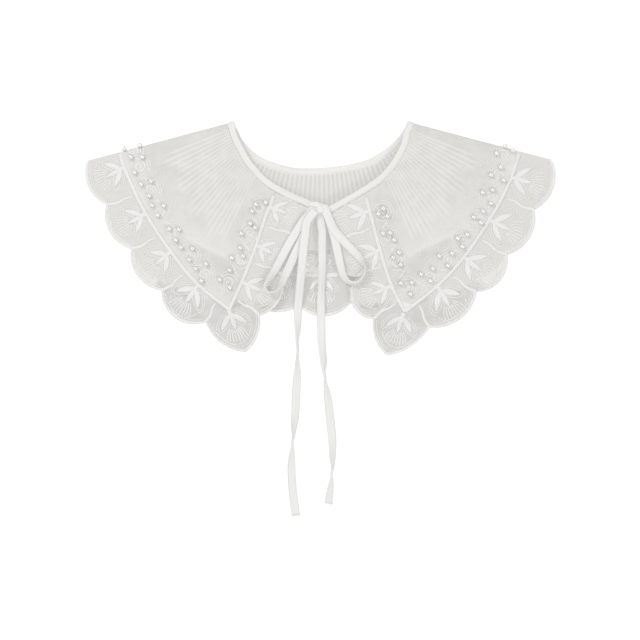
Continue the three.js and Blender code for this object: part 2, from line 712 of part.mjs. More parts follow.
// The seam cord, its rosettes and the stems between them, joined in one solid.
function pearlTrim(panel, rosettes) {
  const seam = [...alongCurve(panel.seam, 0.01, 1, 15), ...alongCurve(panel.leg, 0, 0.97, 9).slice(1)];
  let trim = toManifold(cordSolid(seam, seamCordWidth, "open"));
  const places = placesOf(rosettes);
  const cornerRosette = places[7];
  const stems = places.slice(1).map((place, i) => [places[i], place]);
  for (const stem of [...stems, [cornerRosette, panel.leg.getPointAt(0)]]) {
    trim = trim.add(toManifold(cordSolid(stem, stemWidth, "open")));
  }
  for (const rosette of rosettes) {
    trim = trim.add(rosetteSolids(rosette));
  }
  return fromManifold(trim.asOriginal().simplify(smallDetail));
}

function backSeamCord() {
  return cordSolid(alongCurve(backSeam, 0.06, 0.94, 22), seamCordWidth, "back");
}

// Ribbon and knot

function knotBall(margin) {
  const place = lift(plan(knotPlace), "open");
  const ball = new THREE.SphereGeometry(0.5, 12, 8).rotateX(Math.PI / 2);
  ball.scale(knotWidth + 2 * margin, knotLength + 2 * margin, knotHeight + 2 * margin);
  return ball.translate(place.x, place.y, place.z + knotRise);
}

// What runs into the knot stops a clearance outside it.
function clearOfKnot(geometry) {
  return fromManifold(toManifold(geometry).subtract(toManifold(knotBall(clearance))));
}

// How far a ribbon's middle lies above what it rests on, when it is turned on edge.
function ribbonRise(turn) {
  const standing = Math.abs(Math.sin(THREE.MathUtils.degToRad(turn)));
  return clearance + ribbonThickness / 2 + standing * ribbonWidth / 2;
}

// A flat ribbon through middle points, turned about its own line by each point's angle.
function ribbonSolid(stations) {
  const grid = stations.map(({ place, turn }, i) => {
    const before = stations[Math.max(0, i - 1)].place;
    const after = stations[Math.min(stations.length - 1, i + 1)].place;
    const along = after.clone().sub(before).normalize();
    const level = new THREE.Vector3(along.y, -along.x, 0).normalize();
    const upright = new THREE.Vector3().crossVectors(level, along);
    const angle = THREE.MathUtils.degToRad(turn);
    const side = level.multiplyScalar(Math.cos(angle)).addScaledVector(upright, Math.sin(angle));
    return [-0.5, 0.5].map((share) => place.clone().addScaledVector(side, share * ribbonWidth));
  });
  return clearOfKnot(wallSolid(grid, () => ribbonThickness / 2));
}

function smoothStations(rows, placeOf, steps) {
  const curve = new THREE.CatmullRomCurve3(rows.map(placeOf), false, "centripetal");
  const last = rows.length - 1;
  return Array.from({ length: steps + 1 }, (_, i) => {
    const share = i / steps;
    const row = Math.min(last - 1, Math.floor(share * last));
    const turn = THREE.MathUtils.lerp(rows[row].turn, rows[row + 1].turn, share * last - row);
    return { place: curve.getPoint(share), turn };
  });
}

// A loop lies on the front layer, higher where its ribbon stands on edge.
function bowLoop(rows) {
  const placeOf = ({ across, down, turn, over }) => {
    const place = lift(plan([across, down]), "open");
    place.z += cordHeight / 2 + ribbonRise(turn) + over * (ribbonThickness + clearance);
    return place;
  };
  return ribbonSolid(smoothStations(rows, placeOf, Math.round(rows.length * 1.5)));
}

function tieTail(rows) {
  const placeOf = ({ x, y, rest, turn }) => new THREE.Vector3(x, y, rest + ribbonRise(turn));
  return ribbonSolid(smoothStations(rows, placeOf, Math.round(rows.length * 1.2)));
}

// Materials and the scene

function finish(color, roughness) {
  return new THREE.MeshStandardMaterial({ color, roughness, metalness: 0 });
}

const organza = finish(0xe4e3df, 0.75);
const lace = finish(0xdedcd8, 0.8);
const satin = finish(0xedecea, 0.5);
const pearl = finish(0xf4f1ec, 0.25);

const collar = new THREE.Group();

function addPiece(name, geometry, material) {
  const mesh = new THREE.Mesh(geometry, material);
  mesh.name = name;
  collar.add(mesh);
}

addPiece("yoke", yoke(), organza);
addPiece("lace_border", laceBorder(), lace);
addPiece("neck_binding", binding(), satin);
addPiece("pearl_trim_left", pearlTrim(panels.left, rosettesLeft), pearl);
addPiece("pearl_trim_right", pearlTrim(panels.right, rosettesRight), pearl);
addPiece("back_seam_cord", backSeamCord(), satin);
addPiece("tie_knot", knotBall(0), satin);
addPiece("bow_loop_left", bowLoop(loopLeft), satin);
addPiece("bow_loop_right", bowLoop(loopRight), satin);
addPiece("tie_tail_left", tieTail(tailLeft), satin);
addPiece("tie_tail_right", tieTail(tailRight), satin);

export default collar;
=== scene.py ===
import bisect
import math

import bmesh
import bpy
from mathutils import Matrix, Vector


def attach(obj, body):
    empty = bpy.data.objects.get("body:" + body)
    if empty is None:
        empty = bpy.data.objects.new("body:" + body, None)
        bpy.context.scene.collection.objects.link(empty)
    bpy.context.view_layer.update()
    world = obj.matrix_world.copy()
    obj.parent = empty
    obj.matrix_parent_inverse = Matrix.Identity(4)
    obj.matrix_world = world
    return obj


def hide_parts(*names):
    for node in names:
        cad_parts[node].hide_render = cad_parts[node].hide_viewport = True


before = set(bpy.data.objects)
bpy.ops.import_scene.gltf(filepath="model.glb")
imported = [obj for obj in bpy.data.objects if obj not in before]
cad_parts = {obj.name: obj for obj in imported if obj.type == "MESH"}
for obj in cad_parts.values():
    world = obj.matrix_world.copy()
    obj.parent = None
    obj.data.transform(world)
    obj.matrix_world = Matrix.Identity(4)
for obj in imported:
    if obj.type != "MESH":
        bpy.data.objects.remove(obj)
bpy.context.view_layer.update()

MM = 0.001

# Overall sizes
collar_width = 449
collar_depth = 222
cord_height = 2
clearance = 0.3

# Neck, folds and layers
binding_width = 6.2
binding_gap = 0.8
seam_gap = 0.4
neck_rise = 10
edge_rise = 2.5
neck_centre_down = 12
high_radius = 66
low_radius = 222
fold_margin = 0.25
droop_length = 15
double_start = -16
double_end = -8

# Pleats
front_pleats = 20
back_pleats = 46
tuck_height = 0.55
front_tuck_spread = 0.2
front_tuck_share = 0.62
back_tuck_spread = 0.24
back_tuck_share = 0.6
back_tuck_reach = 0.2
tuck_start = 0.53
tuck_end = 0.66
tuck_stagger = 0.06
back_fan_power = 0.67
last_pleat_neck = 0.72
last_pleat_seam = 0.83
front_first_share = 0.075
back_first_share = 0.04

# Trim. A size is the width and height of a line of thread.
edge_cord_width = 3
edge_cord_height = 1.6
lace_inset = 0.4
seam_cord_size = (3.5, 0.9)
back_seam_size = (4.6, 0.9)
seam_cord_above = 0.3
thread_above = 0.2
inner_line_size = (1.1, 0.3)
inner_line_inset = 4.6
stalk_size = (4.2, 0.8)
leaf_height = 0.65
echo_size = (1.15, 0.35)
fan_line_size = (1.15, 0.4)
swirl_size = (1.6, 0.5)
ring_height = 0.45
scroll_size = (1.5, 0.5)
divider_size = (3.2, 0.5)
rosette_radius = 8.6
back_rosette_radius = 7.4
back_rosette_spacing = 17.6
back_rosette_inset = 13.8
pearl_diameter = 4.6
pearl_clearance = 0.4
dot_radius = 0.75
dot_flatness = 0.5

# Ribbon
ribbon_width = 7.8
ribbon_thickness = 1
ribbon_cloth = 0.35
tail_steps = 150
loop_steps = 110
knot_place = (-0.1, 37.7)
knot_rise = 1.5

# Places are percent of half the width across, and percent of the depth down from the shoulders.
neck_left = [(-36.1, 0.2), (-35.3, 4.1), (-33.4, 8.8), (-30, 15.2), (-27, 19.3), (-21.1, 25.3),
             (-12.6, 30.2), (-4.1, 34), (-1.5, 35.6)]
neck_right = [(36.9, 0.2), (35.4, 4.7), (33.9, 10.5), (29.7, 18), (24.6, 23.6), (18.7, 27.8),
              (10.7, 32.5), (3.5, 36.6), (1, 38)]
neck_back = [(-36.1, 0.2), (-32.5, 8.1), (-26.2, 14.3), (-19, 17.6), (-10.5, 19.7), (2.2, 19.7),
             (17, 17.3), (25.5, 13.3), (33.1, 6.9), (36.9, 0.2)]
seam_left = [(-84.6, 13.1), (-81.2, 23.1), (-73.1, 39.8), (-63.4, 54.8), (-52, 69), (-38.2, 80.3)]
seam_right = [(84.3, 13.1), (80.5, 24.8), (72.9, 39.8), (61.5, 57), (50, 69.8), (35.9, 81.2)]
leg_left = [(-38.2, 80.3), (-32.5, 67.7), (-27.4, 54.8), (-23.2, 42)]
leg_right = [(35.9, 81.2), (30.1, 69.8), (25.1, 54), (21.7, 41.1)]
seam_back = [(-84.6, 13.1), (-76.5, 32.1), (-63.4, 45.8), (-46.5, 55.7), (-29.5, 62.1),
             (-6.7, 65.3), (7.7, 65.3), (29.7, 61.7), (46.6, 53.5), (63.6, 45.4), (76.3, 32.1),
             (84.3, 13.1)]

# A row for each notch: across, down, the share of the seam beside it (over 1 is the leg of a
# front), and the bulge of the scallop that ends there, as a share of its width. A front's last
# scallop ends at the binding.
scallops_left = [
    (-98.1, 16.7, 0, 0),
    (-90.1, 35.5, 0.24, 0.2),
    (-79.7, 54.4, 0.48, 0.21),
    (-66.8, 72.2, 0.71, 0.21),
    (-48.2, 85.7, 0.92, 0.27),
    (-31.2, 98.5, 1, 0.15),
    (-25.3, 82.9, 1.1, 0.13),
    (-15.6, 65.5, 1.42, 0.22),
    (-9, 50.1, 1.73, 0.2),
    (None, None, 2, 0.2),
]
scallops_right = [
    (97.9, 16.3, 0, 0),
    (90.7, 37.7, 0.24, 0.21),
    (79.2, 57, 0.48, 0.2),
    (66.3, 72.8, 0.71, 0.23),
    (46.4, 88, 0.92, 0.2),
    (28.4, 100, 1, 0.11),
    (22.5, 84.4, 1.1, 0.13),
    (15.7, 66.4, 1.42, 0.32),
    (9, 51.2, 1.73, 0.36),
    (None, None, 2, 0.2),
]
scallops_back = [
    (-98.1, 16.7, 0, 0),
    (-89.2, 34.9, 0.1, 0.17),
    (-78.9, 53.1, 0.17, 0.18),
    (-65.5, 67.7, 0.225, 0.19),
    (-47.7, 74.5, 0.29, 0.19),
    (-28.7, 76.7, 0.37, 0.19),
    (-8.8, 78.8, 0.458, 0.18),
    (13, 77.5, 0.56, 0.23),
    (32.3, 75.8, 0.64, 0.18),
    (50, 73.2, 0.71, 0.19),
    (66.5, 66.8, 0.775, 0.19),
    (78.4, 55.2, 0.83, 0.18),
    (89.8, 36.8, 0.9, 0.18),
    (97.9, 16.3, 1, 0.17),
]

# Beyond the back layer's lower edge the fronts sink to the table: across, and down at that edge.
back_edge = [(0, 85), (28, 83), (48, 81), (57, 78.5), (68, 73), (74, 82), (110, 90)]

# A row for each flower: across and down of its foot on the seam, and of the middle of its fan.
flowers_left = [
    (-82.9, 19.7, -92, 24.6),
    (-74, 39.8, -82.9, 44.5),
    (-63.4, 56.1, -71.4, 62.5),
    (-51.6, 70.2, -58.3, 79.2),
    (-38.2, 80.9, -35, 91.2),
    (-32.1, 69, -22.8, 73.7),
    (-26.2, 53.1, -18.1, 57.8),
    (-20.7, 36.8, -12.2, 40.3),
]
flowers_right = [
    (80.9, 24, 91.9, 26.6),
    (72, 42.4, 82.6, 47.1),
    (61, 58.2, 70.3, 65.1),
    (50, 71.1, 56.4, 80.9),
    (35.2, 82.2, 32.3, 92.5),
    (29.3, 70.7, 20.4, 74.9),
    (25.5, 54.8, 15.7, 60),
    (20.4, 38.5, 9.8, 42.8),
]

# A row for each rosette: across, down, and each pearl's bearing and reach in rosette radii.
rosettes_left = [
    (-79.1, 12.6, [(165, 0.92), (35, 1.03), (-100, 0.73)]),
    (-76.1, 19.3, [(70, 1.07), (-125, 0.83)]),
    (-71.4, 29.6, [(85, 1), (145, 1.2), (-100, 0.62)]),
    (-67.6, 38.5, [(140, 1.02), (50, 0.79), (-110, 0.47)]),
    (-61.7, 48.4, [(125, 0.76), (40, 0.83), (-65, 0.67)]),
    (-54.9, 57.4, [(135, 1.3), (65, 0.85), (-90, 0.44)]),
    (-48.6, 65.5, [(145, 1.16), (80, 1.19), (-115, 0.75)]),
    (-38.4, 69, [(160, 1.02), (85, 1.4), (-75, 0.51)]),
    (-32.9, 59.1, [(170, 1.08), (95, 1.29), (65, 0.42)]),
    (-29.5, 47.5, [(85, 0.95), (40, 0.79), (-170, 0.9)]),
    (-25.3, 36.8, [(145, 0.48), (35, 0.83), (-150, 0.94)]),
]
rosettes_right = [
    (77.5, 14.4, [(170, 0.8), (80, 0.96), (25, 1.09)]),
    (75.9, 22.7, [(-175, 1.01), (85, 0.78), (-60, 0.77)]),
    (72, 32.5, [(150, 1.02), (75, 0.81), (-90, 0.67)]),
    (67.4, 41.5, [(170, 0.68), (65, 0.85), (-75, 0.51)]),
    (60.6, 51, [(160, 0.7), (60, 0.77), (-100, 0.68)]),
    (54.3, 59.5, [(155, 1.17), (65, 0.87), (-100, 0.57)]),
    (46.6, 66.8, [(160, 1.11), (75, 1.02), (-90, 0.33)]),
    (36.9, 71.1, [(145, 0.88), (50, 0.75), (-65, 0.75)]),
    (32.3, 60, [(75, 1.04), (130, 0.59), (-35, 0.56)]),
    (28.9, 49.7, [(145, 0.76), (70, 0.53), (-25, 0.67)]),
    (26.3, 39, [(75, 0.4), (-155, 0.5), (-40, 0.71)]),
]

# Ribbon routes: across, down, turn about the ribbon's own line in degrees, ribbons beneath it.
loop_left = [
    (-1.5, 38.3, 0, 1), (-4.6, 40.2, 0, 1), (-7.2, 43.2, 0, 1), (-9.4, 46.6, 0, 0.3),
    (-12.4, 51.5, 0, 0), (-15.6, 57.6, 8, 0), (-18.3, 62.8, 20, 0), (-20.9, 67.2, 45, 0),
    (-22.7, 70.6, 75, 0), (-21.2, 73, 90, 0), (-18.2, 72.3, 105, 0), (-16.1, 69.6, 135, 0),
    (-14, 65.1, 160, 0), (-11.8, 60, 172, 0), (-9.5, 54.8, 180, 0), (-6.8, 49.2, 180, 0),
    (-4.6, 43.4, 180, 0), (-2, 38.3, 180, 0),
]
loop_right = [
    (1.4, 38, 0, 0), (3.8, 42, 0, 0), (6.2, 50, 0, 0), (7.7, 57, -8, 0),
    (8.8, 62.6, -20, 0), (10.2, 66.9, -40, 0), (13, 69.2, -65, 0), (16.2, 68.7, -80, 0),
    (18.6, 65.8, -90, 0), (18.9, 62.2, -105, 0), (17, 58.8, -140, 0), (13.4, 54.8, -168, 0.2),
    (9.6, 50.8, -180, 0.8), (6, 46.4, -180, 1), (4, 42.2, -180, 1), (2.4, 38, -180, 1),
]

# The tails' points in metres from the collar's middle, with the height of what each one lies on
# and the turn.
tail_left = [
    (-0.004, 0.026, 0.015, 0), (-0.0116, 0.016, 0.015, 0), (-0.0136, 0.005, 0.0148, 0),
    (-0.015, -0.008, 0.0144, 0), (-0.0166, -0.024, 0.0136, 0), (-0.018, -0.038, 0.01, 0),
    (-0.0192, -0.05, 0.0064, 0), (-0.0204, -0.062, 0.003, 0), (-0.021, -0.074, 0.001, 15),
    (-0.0208, -0.088, 0, 50), (-0.0208, -0.103, 0, 80), (-0.0206, -0.118, 0, 120),
    (-0.0214, -0.133, 0, 160), (-0.0226, -0.15, 0, 180), (-0.0234, -0.167, 0, 195),
    (-0.025, -0.181, 0, 235), (-0.0258, -0.192, 0, 270), (-0.0266, -0.204, 0, 310),
    (-0.0268, -0.22, 0, 345), (-0.0256, -0.24, 0, 360), (-0.0228, -0.2625, 0, 360),
]
tail_right = [
    (-0.0008, 0.026, 0.011, 0), (0.001, 0.016, 0.0098, 0), (0.0023, 0.006, 0.0084, 0),
    (0.0023, -0.004, 0.007, 0), (0.0024, -0.016, 0.0046, 8), (0.0026, -0.03, 0.0034, 24),
    (0.0018, -0.045, 0.003, 30), (0.0012, -0.058, 0.0026, 16), (0.0012, -0.07, 0.0024, 0),
    (0.0014, -0.084, 0.0008, 0), (0.0018, -0.1, 0, 15), (0.0036, -0.116, 0, 35),
    (0.0048, -0.129, 0, 78), (0.0066, -0.142, 0, 130), (0.0086, -0.158, 0, 165),
    (0.0104, -0.176, 0, 180), (0.0119, -0.192, 0, 195), (0.0119, -0.208, 0, 225),
    (0.0112, -0.222, 0, 270), (0.0104, -0.234, 0, 310), (0.0084, -0.251, 0, 345),
]


# Plan places and curves

def plan(across, down):
    return Vector((across / 100 * collar_width / 2, (0.5 - down / 100) * collar_depth))


def mix(low, high, share):
    return low + (high - low) * share


def smooth_share(value, low, high):
    share = min(1, max(0, (value - low) / (high - low)))
    return share * share * (3 - 2 * share)


def spline_point(points, share):
    """The place at this share of a smooth curve through the points."""
    last = len(points) - 1
    at = share * last
    k = min(last - 1, int(at))
    t = at - k
    before, start, end, after = (points[max(0, min(last, k + step))] for step in (-1, 0, 1, 2))
    leave = (end - before) * 0.5
    arrive = (after - start) * 0.5
    curved = (start - end) * 2 + leave + arrive
    eased = (end - start) * 3 - leave * 2 - arrive
    return curved * t ** 3 + eased * t ** 2 + leave * t + start


def path_lengths(path):
    lengths = [0]
    for before, after in zip(path, path[1:]):
        lengths.append(lengths[-1] + (after - before).length)
    return lengths


class PlanCurve:
    """A smooth curve through plan points, read by the share of its length."""

    def __init__(self, points, steps=200):
        self.points = [spline_point(points, i / steps) for i in range(steps + 1)]
        self.lengths = path_lengths(self.points)

    def at(self, share):
        length = min(1, max(0, share)) * self.lengths[-1]
        k = min(len(self.points) - 2, max(0, bisect.bisect_right(self.lengths, length) - 1))
        step = self.lengths[k + 1] - self.lengths[k]
        return self.points[k].lerp(self.points[k + 1], (length - self.lengths[k]) / step)

    def along(self, share):
        step = 0.002
        return (self.at(share + step) - self.at(share - step)).normalized()

    def stretch(self, start, end, steps):
        return [self.at(mix(start, end, i / steps)) for i in range(steps + 1)]


def plan_curve(rows):
    return PlanCurve([plan(across, down) for across, down in rows])


def beside(curve, share, side, distance):
    along = curve.along(share)
    return curve.at(share) + Vector((along.y, -along.x)) * side * distance


class FrontPanel:
    """A front: its neck, the seam along its lower edge and the seam's leg up to the binding."""

    def __init__(self, neck_rows, seam_rows, leg_rows, side, leg_on_neck, edge_on_neck):
        reach = binding_width + binding_gap
        self.side = side
        self.leg_on_neck = leg_on_neck
        self.neck = plan_curve(neck_rows)
        self.seam = plan_curve(seam_rows)
        leg_top = beside(self.neck, leg_on_neck, side, reach)
        self.edge_top = beside(self.neck, edge_on_neck, side, reach)
        self.leg = PlanCurve([plan(across, down) for across, down in leg_rows] + [leg_top])

    def seam_point(self, share):
        return self.seam.at(share) if share <= 1 else self.leg.at(share - 1)


left_front = FrontPanel(neck_left, seam_left, leg_left, side=1,
                        leg_on_neck=0.66, edge_on_neck=0.96)
right_front = FrontPanel(neck_right, seam_right, leg_right, side=-1,
                         leg_on_neck=0.65, edge_on_neck=0.95)
back_neck_curve = plan_curve(neck_back)
back_seam_curve = plan_curve(seam_back)


# Folds and heights

class Fold:
    def __init__(self, neck_row, edge_row):
        self.neck = plan(*neck_row)
        self.along = (plan(*edge_row) - self.neck).normalized()
        self.inward = Vector((self.along.y, -self.along.x))
        if self.inward.y > 0:
            self.inward.negate()

    def inside(self, point):
        """How far in from the fold's edge the place lies. Beyond the edge it is below 0."""
        return (point - self.neck).dot(self.inward)

    def distance(self, point):
        return max(0, self.inside(point))


left_fold = Fold(neck_left[0], scallops_left[0][:2])
right_fold = Fold(neck_right[0], scallops_right[0][:2])
neck_centre = plan(0, neck_centre_down)
back_middle = cord_height / 2


def fold_beside(point):
    return left_fold if point.x < 0 else right_fold


def below_back_edge(point):
    """How far the place lies beyond the back layer's lower edge. Above that edge it is below 0."""
    across = abs(point.x) / (collar_width / 2) * 100
    k = next(i for i, row in enumerate(back_edge) if row[0] > min(across, 109))
    before, after = back_edge[k - 1], back_edge[k]
    edge_down = mix(before[1], after[1], (across - before[0]) / (after[0] - before[0]))
    return (0.5 - point.y / collar_depth - edge_down / 100) * collar_depth


def droop_at(point):
    """0 where the back layer carries the front, 1 where the front has sunk to the table."""
    return smooth_share(below_back_edge(point), 0, droop_length)


def doubled_at(point):
    """1 where the front lies on the back layer, 0 where it lies alone beyond it."""
    return 1 - smooth_share(below_back_edge(point), double_start, double_end)


def layer_gap(point):
    """How far the front layer's middle lies above the back layer's, away from the folds."""
    nearness = 1 - smooth_share((point - neck_centre).length, high_radius, low_radius)
    return mix(edge_rise, neck_rise, nearness) * (1 - droop_at(point))


def roll_height(point, side):
    radius = layer_gap(point) / 2
    distance = min(left_fold.distance(point), right_fold.distance(point))
    inside = max(0, radius - distance)
    return back_middle + radius + side * math.sqrt(max(0, radius * radius - inside * inside))


heights = {
    "front": lambda point: roll_height(point, 1),
    "back": lambda point: roll_height(point, -1),
    "open": lambda point: back_middle + layer_gap(point),
}


def on_cloth(point):
    """The place itself, or the nearest on the cloth where it lies beyond a shoulder fold."""
    fold = fold_beside(point)
    return point + fold.inward * max(0, fold_margin - fold.inside(point))


def lift(point, layer, above=0):
    return Vector((point.x, point.y, heights[layer](point) + above))


def facing(point, layer):
    """The way the collar's right side faces: up on a front, out at a fold, down on the back."""
    fold = fold_beside(point)
    radius = layer_gap(point) / 2
    inside = max(0, radius - fold.distance(point))
    level = inside / radius if inside else 0
    upright = math.sqrt(1 - level * level)
    return Vector((*(-fold.inward * level), upright if layer == "front" else -upright))


# Stations: lines that run from the neck over the yoke to the seam

roll_shares = [1, 0.7, 0.5, 0.3, 0.134, 0.03, 0, 0.03, 0.134, 0.3, 0.5, 0.7, 1]
tuck_samples = [0, 0.22, 0.34, 0.42, 0.5, 0.58, 0.66, 0.78]


def roll_point(point, fold, share):
    on_fold = fold.neck + fold.along * (point - fold.neck).dot(fold.along)
    return on_fold + fold.inward * share * layer_gap(on_fold) / 2


def front_seam_share(neck_share):
    if neck_share < last_pleat_neck:
        return neck_share / last_pleat_neck * last_pleat_seam
    rest = (neck_share - last_pleat_neck) / (1 - last_pleat_neck)
    return mix(last_pleat_seam, 1, rest)


def front_line(panel, neck_share, tuck):
    """A line over a front. Beyond the last pleat it bends more and more with the leg seam."""
    follow = smooth_share(neck_share, last_pleat_neck, 1)
    inside = Vector((-panel.side * seam_gap, 0))

    def bend(share):
        straight = panel.leg.at(1).lerp(panel.leg.at(0), share)
        return (panel.leg.at(1 - share) - straight + inside) * follow

    neck = beside(panel.neck, neck_share * panel.leg_on_neck, panel.side, binding_width)
    seam = panel.seam.at(front_seam_share(neck_share))
    return {"neck": neck, "seam": seam, "bend": bend, "tuck": tuck, "layer": "front"}


def no_bend(share):
    return Vector((0, 0))


def tuck_shape(sample, spread):
    return math.exp(-((sample - 0.5) / spread) ** 2)


def front_lines(panel):
    lines = []
    for pleat in range(front_pleats):
        for sample in tuck_samples:
            share = mix(front_first_share, last_pleat_neck, (pleat + sample) / front_pleats)
            line = front_line(panel, share, front_tuck_share * tuck_shape(sample, front_tuck_spread))
            line["shift"] = tuck_stagger * math.sin(5 * pleat)
            lines.append(line)
    plain_steps = 8
    for i in range(plain_steps + 1):
        lines.append(front_line(panel, mix(last_pleat_neck, 1, i / plain_steps), 0))
    return lines


def back_seam_share(neck_share):
    """From the fold to the middle this runs ahead of the neck's share, so the pleats fan out."""
    share = (min(neck_share, 1 - neck_share) * 2) ** back_fan_power / 2
    return share if neck_share < 0.5 else 1 - share


def back_line(share, tuck):
    neck = beside(back_neck_curve, share, 1, binding_width)
    seam = back_seam_curve.at(back_seam_share(share))
    return {"neck": neck, "seam": seam, "bend": no_bend, "tuck": tuck, "layer": "back"}


def back_lines():
    lines = []
    for pleat in range(back_pleats):
        for sample in tuck_samples:
            share = mix(back_first_share, 1 - back_first_share, (pleat + sample) / back_pleats)
            line = back_line(share, back_tuck_share * tuck_shape(sample, back_tuck_spread))
            line["shift"] = -back_tuck_reach
            lines.append(line)
    lines.append(back_line(1 - back_first_share, 0))
    return lines


def rolled(fold, from_front, first, second):
    """Two places carried round a shoulder fold, each pair with its layer."""
    pairs = [(roll_point(first, fold, share), roll_point(second, fold, share),
              "front" if i < len(roll_shares) / 2 else "back")
             for i, share in enumerate(roll_shares)]
    return pairs if from_front else pairs[::-1]


def fold_lines(panel, fold, from_front):
    neck_place = beside(panel.neck, 0, panel.side, binding_width)
    return [{"neck": neck, "seam": seam, "bend": no_bend, "tuck": 0, "layer": layer}
            for neck, seam, layer in rolled(fold, from_front, neck_place, panel.seam.at(0))]


def yoke_lines():
    return (front_lines(left_front)[::-1] + fold_lines(left_front, left_fold, True) + back_lines()
            + fold_lines(right_front, right_fold, False) + front_lines(right_front))


# Meshes

def new_piece(name, bm, material):
    """Makes an object from a mesh in millimetres, smooth, in metres and at the origin."""
    bmesh.ops.scale(bm, vec=(MM, MM, MM), verts=bm.verts)
    mesh = bpy.data.meshes.new(name)
    bm.to_mesh(mesh)
    bm.free()
    mesh.polygons.foreach_set("use_smooth", [True] * len(mesh.polygons))
    mesh.materials.append(material)
    piece = bpy.data.objects.new(name, mesh)
    bpy.context.collection.objects.link(piece)
    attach(piece, "root")
    return piece


def add_patch(bm, columns, rows, place, uv_place, masks=()):
    """Adds a grid of cloth. place, uv_place and each mask take a column and a row number."""
    uv_layer = bm.loops.layers.uv.verify()
    mask_layers = [(bm.verts.layers.float.new(name), value) for name, value in masks]
    made = bmesh.ops.create_grid(bm, x_segments=columns, y_segments=rows, size=0.5)
    uv_of = {}
    for vertex in made["verts"]:
        column = round((vertex.co.x + 0.5) * columns)
        row = round((vertex.co.y + 0.5) * rows)
        uv_of[vertex] = uv_place(column, row)
        for mask_layer, value in mask_layers:
            vertex[mask_layer] = value(column, row)
        vertex.co = place(column, row)
    for vertex in made["verts"]:
        for loop in vertex.link_loops:
            loop[uv_layer].uv = uv_of[vertex]


def sheet_uv(run, lengths, rows):
    """Cloth coordinates in metres: along the sheet, and down each of its lines."""
    def uv_place(column, row):
        return run[column] * MM, row / rows * lengths[column] * MM
    return uv_place


def patch_piece(name, columns, rows, place, uv_place, material, masks=()):
    bm = bmesh.new()
    add_patch(bm, columns, rows, place, uv_place, masks)
    return new_piece(name, bm, material)


band_shapes = {
    "thread": [(-1, 0), (0, 1), (1, 0)],
    "satin": [(-1, 0), (-0.85, 0.7), (-0.4, 0.95), (0.4, 0.95), (0.85, 0.7), (1, 0)],
}


def add_band(bm, path, width, height, layer, shape="thread", taper=None, above=thread_above):
    """Lays a stitched band along plan points. taper gives its width's share along the path."""
    profile = band_shapes[shape]
    lengths = path_lengths(path)
    last = len(path) - 1

    def half_width(column):
        return width / 2 * (taper(lengths[column] / lengths[-1]) if taper else 1)

    def place(column, row):
        along = (path[min(last, column + 1)] - path[max(0, column - 1)]).normalized()
        side, up = profile[row]
        point = path[column] + Vector((-along.y, along.x)) * side * half_width(column)
        return lift(on_cloth(point), layer, above + up * height)

    def uv_place(column, row):
        return lengths[column] * MM, profile[row][0] * half_width(column) * MM

    add_patch(bm, last, len(profile) - 1, place, uv_place)


# Finishes

def fill_ramp(ramp, bands, tint=(1, 1, 1)):
    """Sets a colour ramp by its bands, each with a position and a tone."""
    elements = ramp.color_ramp.elements
    while len(elements) < len(bands):
        elements.new(0.5)
    for element, (position, tone) in zip(elements, bands):
        element.position = position
        element.color = (*(tone * part for part in tint), 1)


